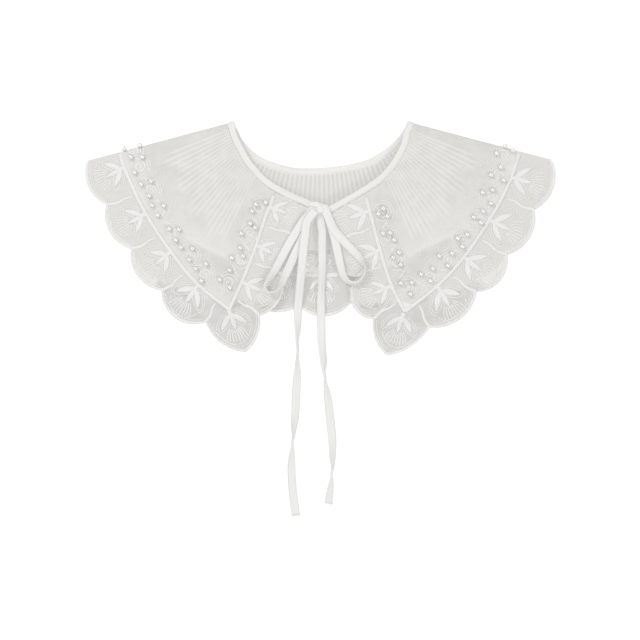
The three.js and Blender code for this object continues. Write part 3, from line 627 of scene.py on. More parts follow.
class Finish:
    """A material under construction, with its shader and short ways to add nodes."""

    def __init__(self, name, roughness, sheen=0, specular=0.3):
        self.material = bpy.data.materials.new(name)
        self.material.use_nodes = True
        self.tree = self.material.node_tree
        self.shader = self.tree.nodes["Principled BSDF"]
        self.places = self.tree.nodes.new("ShaderNodeTexCoord").outputs
        self.feed("Roughness", roughness)
        self.feed("Sheen Weight", sheen)
        self.feed("Specular IOR Level", specular)

    def fill(self, socket, value):
        """Gives an input a number, a colour or another node's output."""
        if isinstance(value, bpy.types.NodeSocket):
            self.tree.links.new(value, socket)
        else:
            socket.default_value = (*value, 1) if isinstance(value, tuple) else value

    def feed(self, name, value):
        self.fill(self.shader.inputs[name], value)

    def add(self, kind, *values, **settings):
        """Adds a node with these settings, and fills its first inputs."""
        node = self.tree.nodes.new("ShaderNode" + kind)
        for name, value in settings.items():
            setattr(node, name, value)
        for socket, value in zip(node.inputs, values):
            self.fill(socket, value)
        return node

    def compute(self, operation, *values, clamp=False):
        return self.add("Math", *values, operation=operation, use_clamp=clamp).outputs[0]

    def across_and_along(self, source):
        return self.add("SeparateXYZ", self.places[source]).outputs[:2]

    def attribute(self, name):
        return self.add("Attribute", attribute_name=name).outputs["Fac"]

    def blend(self, factor, first, second):
        """A colour between two, by a mask. Each is a red, green and blue, or a node's output."""
        node = self.add("Mix", factor, data_type="RGBA")
        self.fill(node.inputs[6], first)
        self.fill(node.inputs[7], second)
        return node.outputs[2]

    def ranged(self, value, low, high):
        node = self.add("MapRange", value)
        node.inputs["To Min"].default_value = low
        node.inputs["To Max"].default_value = high
        return node.outputs["Result"]

    def noise(self, vector, scale, detail, roughness=0.5):
        node = self.add("TexNoise", vector)
        for name, value in (("Scale", scale), ("Detail", detail), ("Roughness", roughness)):
            node.inputs[name].default_value = value
        return node.outputs["Fac"]

    def soft_patches(self, source, scale):
        """Slow patches of tone with a fine grain, from 0 to 1."""
        return self.noise(self.places[source], scale, detail=5, roughness=0.66)

    def streaks(self, source):
        """Fine uneven streaks along a ribbon, from 0 to 1."""
        stretch = self.add("VectorMath", self.places[source], operation="MULTIPLY")
        stretch.inputs[1].default_value = (18, 900, 1)
        return self.noise(stretch.outputs["Vector"], scale=1, detail=2)

    def weave(self, source, threads, ribs):
        """Crossing threads, so many to a metre, as a wave from -1 to 1."""
        across, along = self.across_and_along(source)
        turns = threads * 2 * math.pi
        warp = self.compute("SINE", self.compute("MULTIPLY", across, turns))
        weft = self.compute("SINE", self.compute("MULTIPLY", along, turns))
        return self.compute("MAXIMUM", warp, self.compute("MULTIPLY", weft, ribs))

    def laid_stitches(self, stitches, slant):
        """Threads laid side by side across a band, so many to a metre, as a wave."""
        across, along = self.across_and_along("UV")
        slanted = self.compute("MULTIPLY_ADD", along, slant, across)
        return self.compute("SINE", self.compute("MULTIPLY", slanted, stitches * 2 * math.pi))

    def mask(self, wave):
        """The wave's share from its lowest to its highest, from 0 to 1."""
        return self.compute("MULTIPLY_ADD", wave, 0.5, 0.5)

    def bump(self, height, distance, strength):
        node = self.add("Bump")
        node.inputs["Distance"].default_value = distance
        node.inputs["Strength"].default_value = strength
        self.fill(node.inputs["Height"], height)
        self.feed("Normal", node.outputs["Normal"])

    def paint_glow(self, strength):
        """A painted glow: even emission that stands in for the soft light thin white cloth passes on
        from the bright surface beneath it, and lifts its shade.
        """
        self.feed("Emission Color", (1, 0.99, 0.96))
        self.feed("Emission Strength", strength)


# Painted glow: emission strengths that lift the shade on cloth, thread, ribbon and pearls.
cloth_painted_glow = 0.1
thread_painted_glow = 0.09
pearl_painted_glow = 0.08
weave_cover = 0.06
tuck_cover = 0.14
# Painted highlights on the pearls: places across each pearl's slant, and their tones.
painted_highlight_bands = [(0.05, 0.4), (0.21, 1), (0.54, 1), (0.82, 0.7)]


def sheer_cloth(name, tones, solid, threads):
    """Sheer woven cloth with soft patches. The tones are for one layer, its lighter patches, two
    layers, the back layer seen from its wrong side, whose tone is painted shade, the tucks, which
    are denser too, and painted light that lifts what lies deep in the neck."""
    cloth = Finish(name, roughness=0.85, sheen=0.15, specular=0.15)
    wave = cloth.weave("Object", threads, ribs=0.9)
    tuck = cloth.attribute("tuck")
    # Painted light: a pale tone that lifts the shade deep in the neck between the ribbon ends.
    deep = cloth.ranged(cloth.attribute("painted_light_lift"), 0, 0.4)
    patched = cloth.ranged(cloth.soft_patches("Object", 80), -1, 2)
    tone = cloth.blend(patched, tones["single"], tones["patch"])
    # The wrong side's tone is painted shade: the back layer lies in shade beneath the fronts.
    layers = [(cloth.attribute("doubled"), "double"), (cloth.attribute("wrong side"), "wrong"),
              (tuck, "tuck"), (deep, "painted_light_lift")]
    for mask, layer in layers:
        tone = cloth.blend(mask, tone, tones[layer])
    cloth.feed("Base Color", tone)
    cover = cloth.compute("MULTIPLY_ADD", cloth.mask(wave), weave_cover, solid)
    cloth.feed("Alpha", cloth.compute("MULTIPLY_ADD", tuck, tuck_cover, cover, clamp=True))
    cloth.bump(wave, distance=0.00004, strength=0.4)
    cloth.paint_glow(cloth_painted_glow)
    return cloth.material


def stitched(name, deep, light, roughness=0.55):
    thread = Finish(name, roughness, sheen=0.2, specular=0.35)
    wave = thread.laid_stitches(1400, slant=0.6)
    mask = thread.mask(wave)
    thread.feed("Base Color", thread.blend(mask, deep, light))
    thread.feed("Roughness", thread.ranged(mask, roughness + 0.1, roughness - 0.1))
    thread.bump(wave, distance=0.00012, strength=0.6)
    thread.paint_glow(thread_painted_glow)
    return thread.material


def ribbon_cloth_finish(name, deep, light, source="UV"):
    ribbon = Finish(name, roughness=0.6, sheen=0.25, specular=0.3)
    wave = ribbon.weave(source, threads=1100, ribs=0.5)
    mask = ribbon.mask(wave)
    streaked = ribbon.ranged(ribbon.streaks(source), -0.9, 1)
    shaded = tuple(0.84 * value for value in deep)
    ribbon.feed("Base Color", ribbon.blend(streaked, ribbon.blend(mask, deep, light), shaded))
    ribbon.feed("Roughness", ribbon.ranged(mask, 0.7, 0.5))
    ribbon.bump(wave, distance=0.00008, strength=0.5)
    ribbon.paint_glow(thread_painted_glow)
    return ribbon.material


def pearl_with_painted_highlights():
    """Painted highlights in bands: light towards the upper left and lower right, darker across the
    middle, and a painted darker rim, under a clear coat.
    """
    pearl = Finish("pearl with painted highlights", roughness=0.16, specular=0.6)
    across, up = pearl.across_and_along("UV")
    slanted = pearl.compute("MULTIPLY_ADD", up, -0.5, pearl.compute("MULTIPLY", across, 0.86))
    ramp = pearl.add("ValToRGB", pearl.compute("ABSOLUTE", slanted))
    fill_ramp(ramp, painted_highlight_bands, tint=(1, 0.99, 0.97))
    reach = pearl.add("VectorMath", pearl.places["UV"], operation="LENGTH").outputs["Value"]
    # Painted shade: the pearl darkens towards its rim.
    rim = pearl.compute("POWER", reach, 3.1)
    pearl.feed("Base Color", pearl.blend(rim, ramp.outputs["Color"], white(0.42)))
    pearl.feed("Roughness", pearl.ranged(pearl.soft_patches("Object", 220), 0.1, 0.24))
    pearl.paint_glow(pearl_painted_glow)
    pearl.feed("Coat Weight", 1)
    pearl.feed("Coat Roughness", 0.05)
    return pearl.material


def white(tone, warmth=0.02, yellow=0.005):
    """A warm white: its red, and how far the blue and the green lie under it."""
    return (tone, tone - yellow, tone - warmth)


# In each set of tones the wrong side's tone is painted shade on the back layer, and the palest tone
# is painted light that lifts the shade deep in the neck.
organza = sheer_cloth(
    "pleated organza",
    {"single": white(0.58, 0.035), "patch": white(0.68, 0.03), "double": white(0.75, 0.03),
     "wrong": white(0.49, 0.03), "tuck": white(0.75, 0.03), "painted_light_lift": white(0.95, 0.04)},
    solid=0.76, threads=2200)
lace_ground = sheer_cloth(
    "lace ground",
    {"single": white(0.455, 0.035, 0.01), "patch": white(0.53, 0.03, 0.01),
     "double": white(0.66, 0.04, 0.015), "wrong": white(0.51, 0.035, 0.01),
     "tuck": white(0.77, 0.025), "painted_light_lift": white(0.95, 0.04)},
    solid=0.8, threads=1900)
satin_thread = stitched("satin stitch thread", white(0.72), white(0.81))
fine_thread = stitched("fine outline thread", white(0.67), white(0.76))
# The back's satin thread is lighter than the fronts': painted light against the shade the back lies
# in.
back_thread = stitched("thread of the back", white(0.76), white(0.84))
back_fine_thread = stitched("fine thread of the back", white(0.66), white(0.75))
ribbon_white = ribbon_cloth_finish("ribbon weave", white(0.68), white(0.76))
knot_white = ribbon_cloth_finish("knotted ribbon weave", white(0.7), white(0.78), "Object")
binding_white = ribbon_cloth_finish("binding weave", white(0.66, 0.025), white(0.75, 0.025))
pearl_white = pearl_with_painted_highlights()


# The camera, straight above, as the photograph is taken

picture_width = 608
camera_lens = 100
sensor_width = 36
picture_centre = Vector((0.2, -77.2))


def place_camera():
    data = bpy.data.cameras.new("camera")
    data.lens = camera_lens
    data.sensor_width = sensor_width
    camera = bpy.data.objects.new("camera", data)
    height = picture_width * camera_lens / sensor_width
    camera.location = Vector((picture_centre.x, picture_centre.y, height)) * MM
    bpy.context.collection.objects.link(camera)
    bpy.context.scene.camera = camera


place_camera()


# Ribbons

fray_threads = 11
fray_size = (0.5, 0.3)
fray_spread = 0.9 * ribbon_width
fray_length = 1.5
fray_unevenness = 0.6
fray_lean = 0.4


def ribbon_rise(turn):
    """How far a ribbon's middle lies above what it rests on, when it is turned on edge."""
    standing = abs(math.sin(math.radians(turn)))
    return clearance + ribbon_thickness / 2 + standing * ribbon_width / 2


def ribbon_stations(rows, place_of, turn_of, steps):
    """Middle points and turns along a smooth route."""
    points = [place_of(row) for row in rows]
    last = len(rows) - 1
    stations = []
    for i in range(steps + 1):
        at = i / steps * last
        k = min(last - 1, int(at))
        turn = mix(turn_of(rows[k]), turn_of(rows[k + 1]), at - k)
        stations.append((spline_point(points, i / steps), turn))
    return stations


def ribbon_piece(name, stations):
    """A ribbon turned about its own line: nearly flat where it lies, curled where it turns."""
    places = [place for place, turn in stations]
    lengths = path_lengths(places)
    last = len(stations) - 1
    rows = 6
    lying_cup = 0.12
    turning_cup = 1.9

    def place(column, row):
        middle, turn = stations[column]
        along = (places[min(last, column + 1)] - places[max(0, column - 1)]).normalized()
        level = Vector((along.y, -along.x, 0)).normalized()
        upright = level.cross(along)
        angle = math.radians(turn)
        side = level * math.cos(angle) + upright * math.sin(angle)
        over = along.cross(side)
        cup = mix(lying_cup, turning_cup, math.sin(angle) ** 4)
        share = row / rows - 0.5
        return middle + side * share * ribbon_width + over * cup * (4 * share * share - 0.5)

    def uv_place(column, row):
        return lengths[column] * MM, (row / rows - 0.5) * ribbon_width * MM

    piece = patch_piece(name, last, rows, place, uv_place, ribbon_white)
    thicken = piece.modifiers.new("cloth", "SOLIDIFY")
    thicken.thickness = ribbon_cloth * MM
    thicken.offset = 0
    return piece


def tail_turn(row):
    return row[3]


def tail_place(row):
    x, y, rest, turn = row
    return Vector((x / MM, y / MM, rest / MM + ribbon_rise(turn)))


def frayed_end(name, stations):
    """Short loose threads at the cut end of a ribbon."""
    bm = bmesh.new()
    end = stations[-1][0].xy
    along = (end - stations[-4][0].xy).normalized()
    side = Vector((along.y, -along.x))
    for k in range(fray_threads):
        across = ((k + 0.5) / fray_threads - 0.5) * fray_spread
        length = fray_length + fray_unevenness * math.sin(7 * k)
        foot = end + side * across - along * 0.5
        lean = (along + side * fray_lean * math.sin(11 * k)).normalized()
        thread = [foot, foot + lean * length * 0.5, foot + lean * length]
        add_band(bm, thread, *fray_size, "open")
    return new_piece(name, bm, back_fine_thread)


def tie_tail(name, rows, node):
    stations = ribbon_stations(rows, tail_place, tail_turn, tail_steps)
    path = [place * MM for place, turn in stations]
    length = path_lengths(path)[-1]
    piece = ribbon_piece(name, stations)
    fray = frayed_end(name + "_fray", stations)
    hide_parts(node)
    tuple(path[0])
    [tuple(p) for p in path]


def loop_turn(row):
    return row[2]


def loop_place(row):
    across, down, turn, over = row
    above = cord_height / 2 + ribbon_rise(turn) + over * (ribbon_thickness + clearance)
    return lift(plan(across, down), "open", above)


def bow_loop(name, rows, node):
    stations = ribbon_stations(rows, loop_place, loop_turn, loop_steps)
    length = path_lengths([place for place, turn in stations])[-1] * MM
    piece = ribbon_piece(name, stations)
    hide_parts(node)


tie_tail("ribbon_tail_left", tail_left, "tie_tail_left")
tie_tail("ribbon_tail_right", tail_right, "tie_tail_right")
bow_loop("ribbon_loop_left", loop_left, "bow_loop_left")
bow_loop("ribbon_loop_right", loop_right, "bow_loop_right")


# The yoke

# What shows through the fronts: how strongly, and over which distances from a seam. The rosette
# values lighten the cloth under the front's rosettes, partly for their dense thread and partly as
# painted light against the shade of the pearls.
beneath_strengths = (0.62, 0.1)
beneath_start = (-1.5, 3)
beneath_reach = (4, 55)
seam_line_strength = 0.45
seam_line_rise = 2.5
seam_line_spread = 1.8
rosette_strength = 0.55
rosette_reach = (14, 24)

# The strip of the back that lies deep between the ribbon ends, where painted light lifts the shade.
painted_light_lift_middle = Vector((-7, 20))
painted_light_lift_reach = (11, 17)
painted_light_lift_top = 32


def back_seam_height(x):
    """How far up the back's seam lies at this place across."""
    nearest = min(back_seam_curve.points, key=lambda point: abs(point.x - x))
    return nearest.y


def pleated_yoke():
    lines = yoke_lines()
    rows = 56
    lengths = [(line["seam"] - line["neck"]).length for line in lines]
    neck_run = path_lengths([line["neck"] for line in lines])

    def tuck_at(column, row):
        share = row / rows + lines[column].get("shift", 0)
        return lines[column]["tuck"] * (1 - smooth_share(share, tuck_start, tuck_end))

    def place(column, row):
        line = lines[column]
        start = clearance / lengths[column]
        end = 1 - seam_gap / lengths[column]
        share = mix(start, end, row / rows)
        point = line["neck"].lerp(line["seam"], share) + line["bend"](share)
        return lift(point, line["layer"], tuck_at(column, row) * tuck_height)

    # 1 on the back layer, whose tone is painted shade.
    def back_painted_shade(column, row):
        return 1 if lines[column]["layer"] == "back" else 0

    def doubled(column, row):
        """Grows towards the back's seam, where the back's embroidery lies beneath the front, and
        under the front's own rosettes, partly for their dense thread and partly as painted light
        against the shade of the pearls."""
        if back_painted_shade(column, row):
            return 0
        point = place(column, row)
        above_seam = point.y - back_seam_height(point.x)
        beneath = (smooth_share(above_seam, *beneath_start)
                   * mix(*beneath_strengths, smooth_share(above_seam, *beneath_reach)))
        seam_line = math.exp(-((above_seam - seam_line_rise) / seam_line_spread) ** 2)
        to_seam = (1 - row / rows) * lengths[column]
        rosettes = rosette_strength * (1 - smooth_share(to_seam, *rosette_reach))
        return min(1, max(beneath + seam_line_strength * seam_line, rosettes))

    # Painted light: how strongly the back's tone is lifted against the shade between the ribbon
    # ends.
    def painted_light_lift(column, row):
        point = place(column, row)
        near = 1 - smooth_share(abs(point.x - painted_light_lift_middle.x), *painted_light_lift_reach)
        low = 1 - smooth_share(point.y, painted_light_lift_middle.y, painted_light_lift_top)
        return back_painted_shade(column, row) * near * low

    yoke = patch_piece("organza_yoke", len(lines) - 1, rows, place,
                       sheet_uv(neck_run, lengths, rows), organza,
                       [("tuck", tuck_at), ("wrong side", back_painted_shade), ("doubled", doubled),
                        ("painted_light_lift", painted_light_lift)])
    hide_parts("yoke")


pleated_yoke()


# The lace border

def scallop_point(start, end, bulge, share, outward):
    """A round edge from one notch to the next, bulging away from the seam."""
    chord = end - start
    width = chord.length
    depth = bulge * width
    radius = (width * width / 4 + depth * depth) / (2 * depth)
    half_angle = math.asin(min(1, width / 2 / radius))
    angle = mix(-half_angle, half_angle, share)
    along = chord.normalized()
    away = Vector((along.y, -along.x)) * outward
    rise = radius * (math.cos(angle) - math.cos(half_angle))
    return start.lerp(end, 0.5) + along * radius * math.sin(angle) + away * rise


scallop_steps = 22


def scallop_lines(rows, notches, seam_point, layer, outward):
    lines = []
    for k in range(1, len(rows)):
        for i in range(scallop_steps):
            share = i / scallop_steps
            edge = scallop_point(notches[k - 1], notches[k], rows[k][3], share, outward)
            lines.append((seam_point(mix(rows[k - 1][2], rows[k][2], share)), edge, layer))
    lines.append((seam_point(rows[-1][2]), notches[-1], layer))
    return lines


def front_notches(panel, rows):
    return [plan(*row[:2]) for row in rows[:-1]] + [panel.edge_top]


def front_scallops(panel, rows):
    return scallop_lines(rows, front_notches(panel, rows), panel.seam_point, "front", panel.side)


def back_scallops():
    notches = [plan(*row[:2]) for row in scallops_back]
    return scallop_lines(scallops_back, notches, back_seam_curve.at, "back", 1)


def border_fold(panel, rows, fold, from_front):
    return rolled(fold, from_front, panel.seam.at(0), plan(*rows[0][:2]))


def border_lines():
    return (front_scallops(left_front, scallops_left)[:0:-1]
            + border_fold(left_front, scallops_left, left_fold, True)
            + back_scallops()[1:-1]
            + border_fold(right_front, scallops_right, right_fold, False)
            + front_scallops(right_front, scallops_right)[1:])


def lace_edging(lines):
    rows = 26
    lengths = [(edge - seam).length for seam, edge, layer in lines]
    edge_run = path_lengths([edge for seam, edge, layer in lines])

    def place(column, row):
        seam, edge, layer = lines[column]
        start = clearance / 2 / lengths[column]
        end = 1 - lace_inset / lengths[column]
        return lift(seam.lerp(edge, mix(start, end, row / rows)), layer)

    # 1 on the back layer, whose tone is painted shade.
    def back_painted_shade(column, row):
        return 1 if lines[column][2] == "back" else 0

    def doubled(column, row):
        """1 where the front's lace lies on the back's, 0 where it lies alone."""
        return 0 if back_painted_shade(column, row) else doubled_at(place(column, row).xy)

    border = patch_piece("lace_edging", len(lines) - 1, rows, place,
                         sheet_uv(edge_run, lengths, rows), lace_ground,
                         [("wrong side", back_painted_shade), ("doubled", doubled)])
    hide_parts("lace_border")


def edge_cord(lines):
    """The bold satin-stitched cord round every scallop, wrapped over the cloth's edge."""
    profile = [(0, -0.2), (0.15, 0.75), (0.5, 1), (0.8, 0.75), (1, 0), (0.8, -0.75), (0.5, -1),
               (0.15, -0.75), (0, -0.2)]
    edge_run = path_lengths([edge for seam, edge, layer in lines])

    def place(column, row):
        seam, edge, layer = lines[column]
        inward = (seam - edge).normalized()
        out, up = profile[row]
        point = edge + inward * edge_cord_width * (1 - out)
        return lift(point, layer) + facing(point, layer) * up * edge_cord_height / 2

    def uv_place(column, row):
        return edge_run[column] * MM, profile[row][0] * edge_cord_width * MM

    patch_piece("scallop_edge_cord", len(lines) - 1, len(profile) - 1, place, uv_place,
                satin_thread)


lines_of_border = border_lines()
lace_edging(lines_of_border)
edge_cord(lines_of_border)


# The neck binding

def binding_stations():
    front_steps = 60
    back_steps = 90
    stations = []

    def add(curve, share, side, layer):
        stations.append((curve.at(share), beside(curve, share, side, binding_width), layer))

    def add_fold(panel, fold, from_front):
        cloth = beside(panel.neck, 0, panel.side, binding_width)
        stations.extend(rolled(fold, from_front, panel.neck.at(0), cloth))

    for i in range(front_steps, -1, -1):
        add(left_front.neck, mix(front_first_share, 1, i / front_steps), 1, "front")
    add_fold(left_front, left_fold, True)
    for i in range(back_steps + 1):
        share = mix(back_first_share, 1 - back_first_share, i / back_steps)
        add(back_neck_curve, share, 1, "back")
    add_fold(right_front, right_fold, False)
    for i in range(front_steps + 1):
        add(right_front.neck, mix(front_first_share, 1, i / front_steps), -1, "front")
    return stations


def neck_binding():
    """A tape folded over the neck edge: out from the cloth, round the edge and back."""
    profile = [(1, -0.35), (0.94, -0.75), (0.75, -0.9), (0.5, -1), (0.25, -0.95), (0.08, -0.7),
               (0, 0), (0.08, 0.7), (0.25, 0.95), (0.5, 1), (0.75, 0.9), (0.94, 0.75), (1, 0.35)]
    stations = binding_stations()
    neck_run = path_lengths([neck for neck, cloth, layer in stations])

    def place(column, row):
        neck, cloth, layer = stations[column]
        share, up = profile[row]
        point = neck.lerp(cloth, share)
        return lift(point, layer) + facing(point, layer) * up * cord_height / 2

    def uv_place(column, row):
        return neck_run[column] * MM, row / (len(profile) - 1) * 2 * binding_width * MM

    binding = patch_piece("neck_tape", len(stations) - 1, len(profile) - 1, place, uv_place,
                          binding_white)
    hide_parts("neck_binding")


neck_binding()


# Embroidery

def rounded(share):
    return math.sin(math.pi * min(0.97, max(0.03, share))) ** 0.6


def blunt(share):
    """Full width at the start, tapering to the end."""
    return mix(1, 0.6, share)


def turned(direction, degrees):
    return Matrix.Rotation(math.radians(degrees), 2) @ direction


def arc(centre, direction, radius, start, end, steps):
    return [centre + turned(direction, mix(start, end, i / steps)) * radius
            for i in range(steps + 1)]


def leaf_path(foot, direction, length, curl, steps=9):
    return [foot + turned(direction, curl * i / steps) * length * i / steps
            for i in range(steps + 1)]


def oval(centre, direction, long, wide, start, end, steps):
    side = Vector((-direction.y, direction.x))
    points = []
    for i in range(steps + 1):
        angle = math.radians(mix(start, end, i / steps))
        points.append(centre + direction * long * math.cos(angle) + side * wide * math.sin(angle))
    return points


# All lengths of a flower, a rosette or a curve are parts of its own reach, radius or chord, and
# all turns are degrees.
# A row for each leaf: its turn from the flower's own direction, its length, width and curl.
leaf_rows = [(51, 0.76, 0.23, -8), (2, 0.68, 0.19, 0), (-51, 0.74, 0.23, 6)]
fork_reach = 0.12
leaf_middle = 0.42
# A row for each echo line of an outer leaf: its half length and width, its start and end.
leaf_echoes = [(0.42, 0.18, -110, 130), (0.51, 0.26, -25, 125)]
fan_lines = 8
fan_foot_reach = 0.54
fan_start = 0.24
fan_length = 0.5
fan_curl = -0.45
fan_turns = (-52, 50)
bulb_length = 0.82
bulb_width = 0.66
bulb_turn = 66
# A rosette's swirl grows from its first radius to its last. A row for each ring round it: its
# radius, start and end, and the width of its thread in millimetres.
swirl_radii = (0.12, 0.66)
swirl_turns = (-80, 400)
rosette_rings = [(0.97, -140, 170, 1.6), (1.24, -85, 95, 1.4)]
# A row for each place that a curve passes: how far along its chord, and how far aside.
scroll_rows = [(0.28, 0.24), (0.42, 0.12), (0.5, 0), (0.58, -0.12), (0.72, -0.24)]
divider_rows = [(0.04, 0), (0.35, 0.05), (0.62, -0.01), (0.86, 0)]
# The places of the small dots down every second pleat, and down those between.
dot_rows = [(0.75,), (0.7, 0.8)]


def petal(share):
    """A leaf's width: a narrow foot, widest near the middle, and a pointed tip."""
    return 0.1 + 0.9 * math.sin(math.pi * min(1, max(0, share)) ** 0.9) ** 0.8


def add_flower(bold, fine, foot, fan_middle, layer, hand):
    """Three satin leaves on a short stalk, echo lines round the outer two, and a fan beyond."""
    reach = (fan_middle - foot).length
    direction = (fan_middle - foot).normalized()
    fork = foot + direction * reach * fork_reach
    stalk = [foot - direction * 1.2, foot + direction * 1, fork + direction * 1.2]
    add_band(bold, stalk, *stalk_size, layer, "satin")
    for bearing, length, width, curl in leaf_rows:
        lean = turned(direction, bearing * hand)
        add_band(bold, leaf_path(fork, lean, length * reach, curl * hand), width * reach,
                 leaf_height, layer, "satin", petal)
        if abs(bearing) > 10:
            leaf_line = turned(lean, curl * 0.5 * hand)
            middle = fork + leaf_line * reach * leaf_middle
            outer = hand if bearing > 0 else -hand
            for long, wide, start, end in leaf_echoes:
                outline = oval(middle, leaf_line, long * reach, wide * reach, start * outer,
                               end * outer, 22)
                add_band(fine, outline, *echo_size, layer)
    fan_foot = foot + direction * reach * fan_foot_reach
    for k in range(fan_lines):
        spread = mix(*fan_turns, k / (fan_lines - 1)) * hand
        lean = turned(direction, spread)
        start = fan_foot + lean * reach * fan_start
        path = leaf_path(start, lean, fan_length * reach, fan_curl * spread, 8)
        add_band(bold, path, *fan_line_size, layer)
    bulb = oval(fan_foot, direction, bulb_length * reach, bulb_width * reach, -bulb_turn, bulb_turn,
                20)
    add_band(fine, bulb, *echo_size, layer)


def add_rosette(bold, fine, centre, seam_place, layer, hand, size=rosette_radius):
    """A swirl in satin stitch, an open ring round it and echo arcs on the side off the seam."""
    towards = (centre - seam_place).normalized()
    steps = 36
    swirl = []
    for i in range(steps + 1):
        share = i / steps
        radius = size * mix(*swirl_radii, share)
        swirl.append(centre + turned(towards, hand * mix(*swirl_turns, share)) * radius)
    add_band(bold, swirl, *swirl_size, layer)
    for reach, start, end, width in rosette_rings:
        ring = arc(centre, towards, size * reach, start * hand, end * hand, 30)
        add_band(fine, ring, width, ring_height, layer)


def chord_path(start, end, hand, rows, steps):
    chord = end - start
    side = Vector((chord.y, -chord.x)) * hand
    curve = PlanCurve([start + chord * along + side * aside for along, aside in rows], 2 * steps)
    return curve.stretch(0, 1, steps)


def add_scroll(bold, start, end, layer, hand):
    """An S-curve between two rosettes."""
    path = chord_path(start, end, hand, scroll_rows, 10)
    add_band(bold, path, *scroll_size, layer, "thread", rounded)


def add_divider(bold, notch, seam_place, layer, hand):
    """A wavering satin line from a notch most of the way to the seam."""
    path = chord_path(notch, seam_place, hand, divider_rows, 12)
    add_band(bold, path, *divider_size, layer, "satin", blunt)


def add_inner_scallops(fine, border):
    """A thin line inside the edge cord, following each scallop from near one notch to the next."""
    for first in range(2, len(border) - 1, scallop_steps):
        lines = border[first:first + scallop_steps - 3]
        path = [edge + (seam - edge).normalized() * inner_line_inset for seam, edge, layer in lines]
        add_band(fine, path, *inner_line_size, lines[0][2])


def add_dot(bold, place, layer):
    made = bmesh.ops.create_uvsphere(bold, u_segments=8, v_segments=5, radius=dot_radius)
    bmesh.ops.scale(bold, vec=(1, 1, dot_flatness), verts=made["verts"])
    bmesh.ops.translate(bold, vec=lift(place, layer, thread_above), verts=made["verts"])


def front_embroidery(side_name, panel, scallops, flowers, rosettes):
    bold = bmesh.new()
    fine = bmesh.new()
    hand = panel.side
    seam_path = panel.seam.stretch(0.01, 1, 60)
    leg_path = panel.leg.stretch(0, 0.97, 36)
    for path in (seam_path, leg_path):
        add_band(bold, path, *seam_cord_size, "front", "satin", above=seam_cord_above)
    for across, down, fan_across, fan_down in flowers:
        add_flower(bold, fine, plan(across, down), plan(fan_across, fan_down), "front", hand)
    notches = front_notches(panel, scallops)
    for notch, row in list(zip(notches, scallops))[1:-1]:
        if row[2] != 1:
            add_divider(bold, notch, panel.seam_point(row[2]), "front", hand)
    add_inner_scallops(fine, front_scallops(panel, scallops))
    places = [plan(across, down) for across, down, pearls in rosettes]
    seam_places = seam_path + leg_path
    for k, centre in enumerate(places):
        nearest = min(seam_places, key=lambda place: (place - centre).length)
        add_rosette(bold, fine, centre, nearest, "front", hand if k % 2 else -hand)
        if k + 1 < len(places):
            add_scroll(bold, centre, places[k + 1], "front", hand)
    for k in range(front_pleats):
        share = mix(front_first_share, last_pleat_neck, (k + 0.5) / front_pleats)
        line = front_line(panel, share, 0)
        for row in dot_rows[k % 2]:
            add_dot(bold, line["neck"].lerp(line["seam"], row), "front")
    new_piece("embroidery_" + side_name, bold, satin_thread)
    new_piece("outline_stitches_" + side_name, fine, fine_thread)


def pearl_height(place, radius):
    """The height of a pearl's middle: over the front, or against the side of the fold."""
    fold = fold_beside(place)
    roll = layer_gap(place) / 2
    reach = roll + radius + pearl_clearance
    beyond_axis = min(reach, max(0, roll - fold.inside(place)))
    return back_middle + roll + math.sqrt(reach * reach - beyond_axis * beyond_axis)


def pearls(side_name, rosettes, node):
    """Round pearls sewn on the rosettes. Their UV is the plan place in each one, from -1 to 1."""
    bm = bmesh.new()
    uv_layer = bm.loops.layers.uv.verify()
    radius = pearl_diameter / 2
    for across, down, spots in rosettes:
        for bearing, reach in spots:
            angle = math.radians(bearing)
            offset = Vector((math.cos(angle), math.sin(angle))) * reach * rosette_radius
            place = plan(across, down) + offset
            made = bmesh.ops.create_uvsphere(bm, u_segments=20, v_segments=12, radius=radius)
            for vertex in made["verts"]:
                for loop in vertex.link_loops:
                    loop[uv_layer].uv = vertex.co.xy / radius
            middle = (place.x, place.y, pearl_height(place, radius))
            bmesh.ops.translate(bm, vec=middle, verts=made["verts"])
    piece = new_piece("pearls_" + side_name, bm, pearl_white)
    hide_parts(node)


fan_reach = 0.58
centre_scallop = 7
centre_flower = [(0.5, 65.5), (0.7, 75.5)]


def back_embroidery():
    """The back's seam cord, flowers, dividers and rosettes, seen from the wrong side."""
    bold = bmesh.new()
    fine = bmesh.new()
    seam_path = back_seam_curve.stretch(back_first_share, 1 - back_first_share, 150)
    add_band(bold, seam_path, *back_seam_size, "back", "satin", above=seam_cord_above)
    add_inner_scallops(fine, back_scallops())
    notches = [plan(*row[:2]) for row in scallops_back]
    for k in range(1, len(scallops_back)):
        share = mix(scallops_back[k - 1][2], scallops_back[k][2], 0.5)
        foot = back_seam_curve.at(share)
        edge = scallop_point(notches[k - 1], notches[k], scallops_back[k][3], 0.5, 1)
        fan_middle = foot.lerp(edge, fan_reach)
        if k == centre_scallop:
            foot, fan_middle = plan(*centre_flower[0]), plan(*centre_flower[1])
        add_flower(bold, fine, foot, fan_middle, "back", 1)
        if k < len(scallops_back) - 1:
            add_divider(bold, notches[k], back_seam_curve.at(scallops_back[k][2]), "back", 1)
    rosette_count = 2 * round(back_seam_curve.lengths[-1] * 0.45 / back_rosette_spacing)
    for k in range(rosette_count):
        from_middle = (k + 0.5 - rosette_count / 2) * back_rosette_spacing
        share = 0.5 + from_middle / back_seam_curve.lengths[-1]
        centre = beside(back_seam_curve, share, -1, back_rosette_inset)
        hand = 1 if k % 2 else -1
        add_rosette(bold, fine, centre, back_seam_curve.at(share), "back", hand,
                    back_rosette_radius)
    satin = new_piece("embroidery_back", bold, back_thread)
    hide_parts("back_seam_cord")
    new_piece("outline_stitches_back", fine, back_fine_thread)


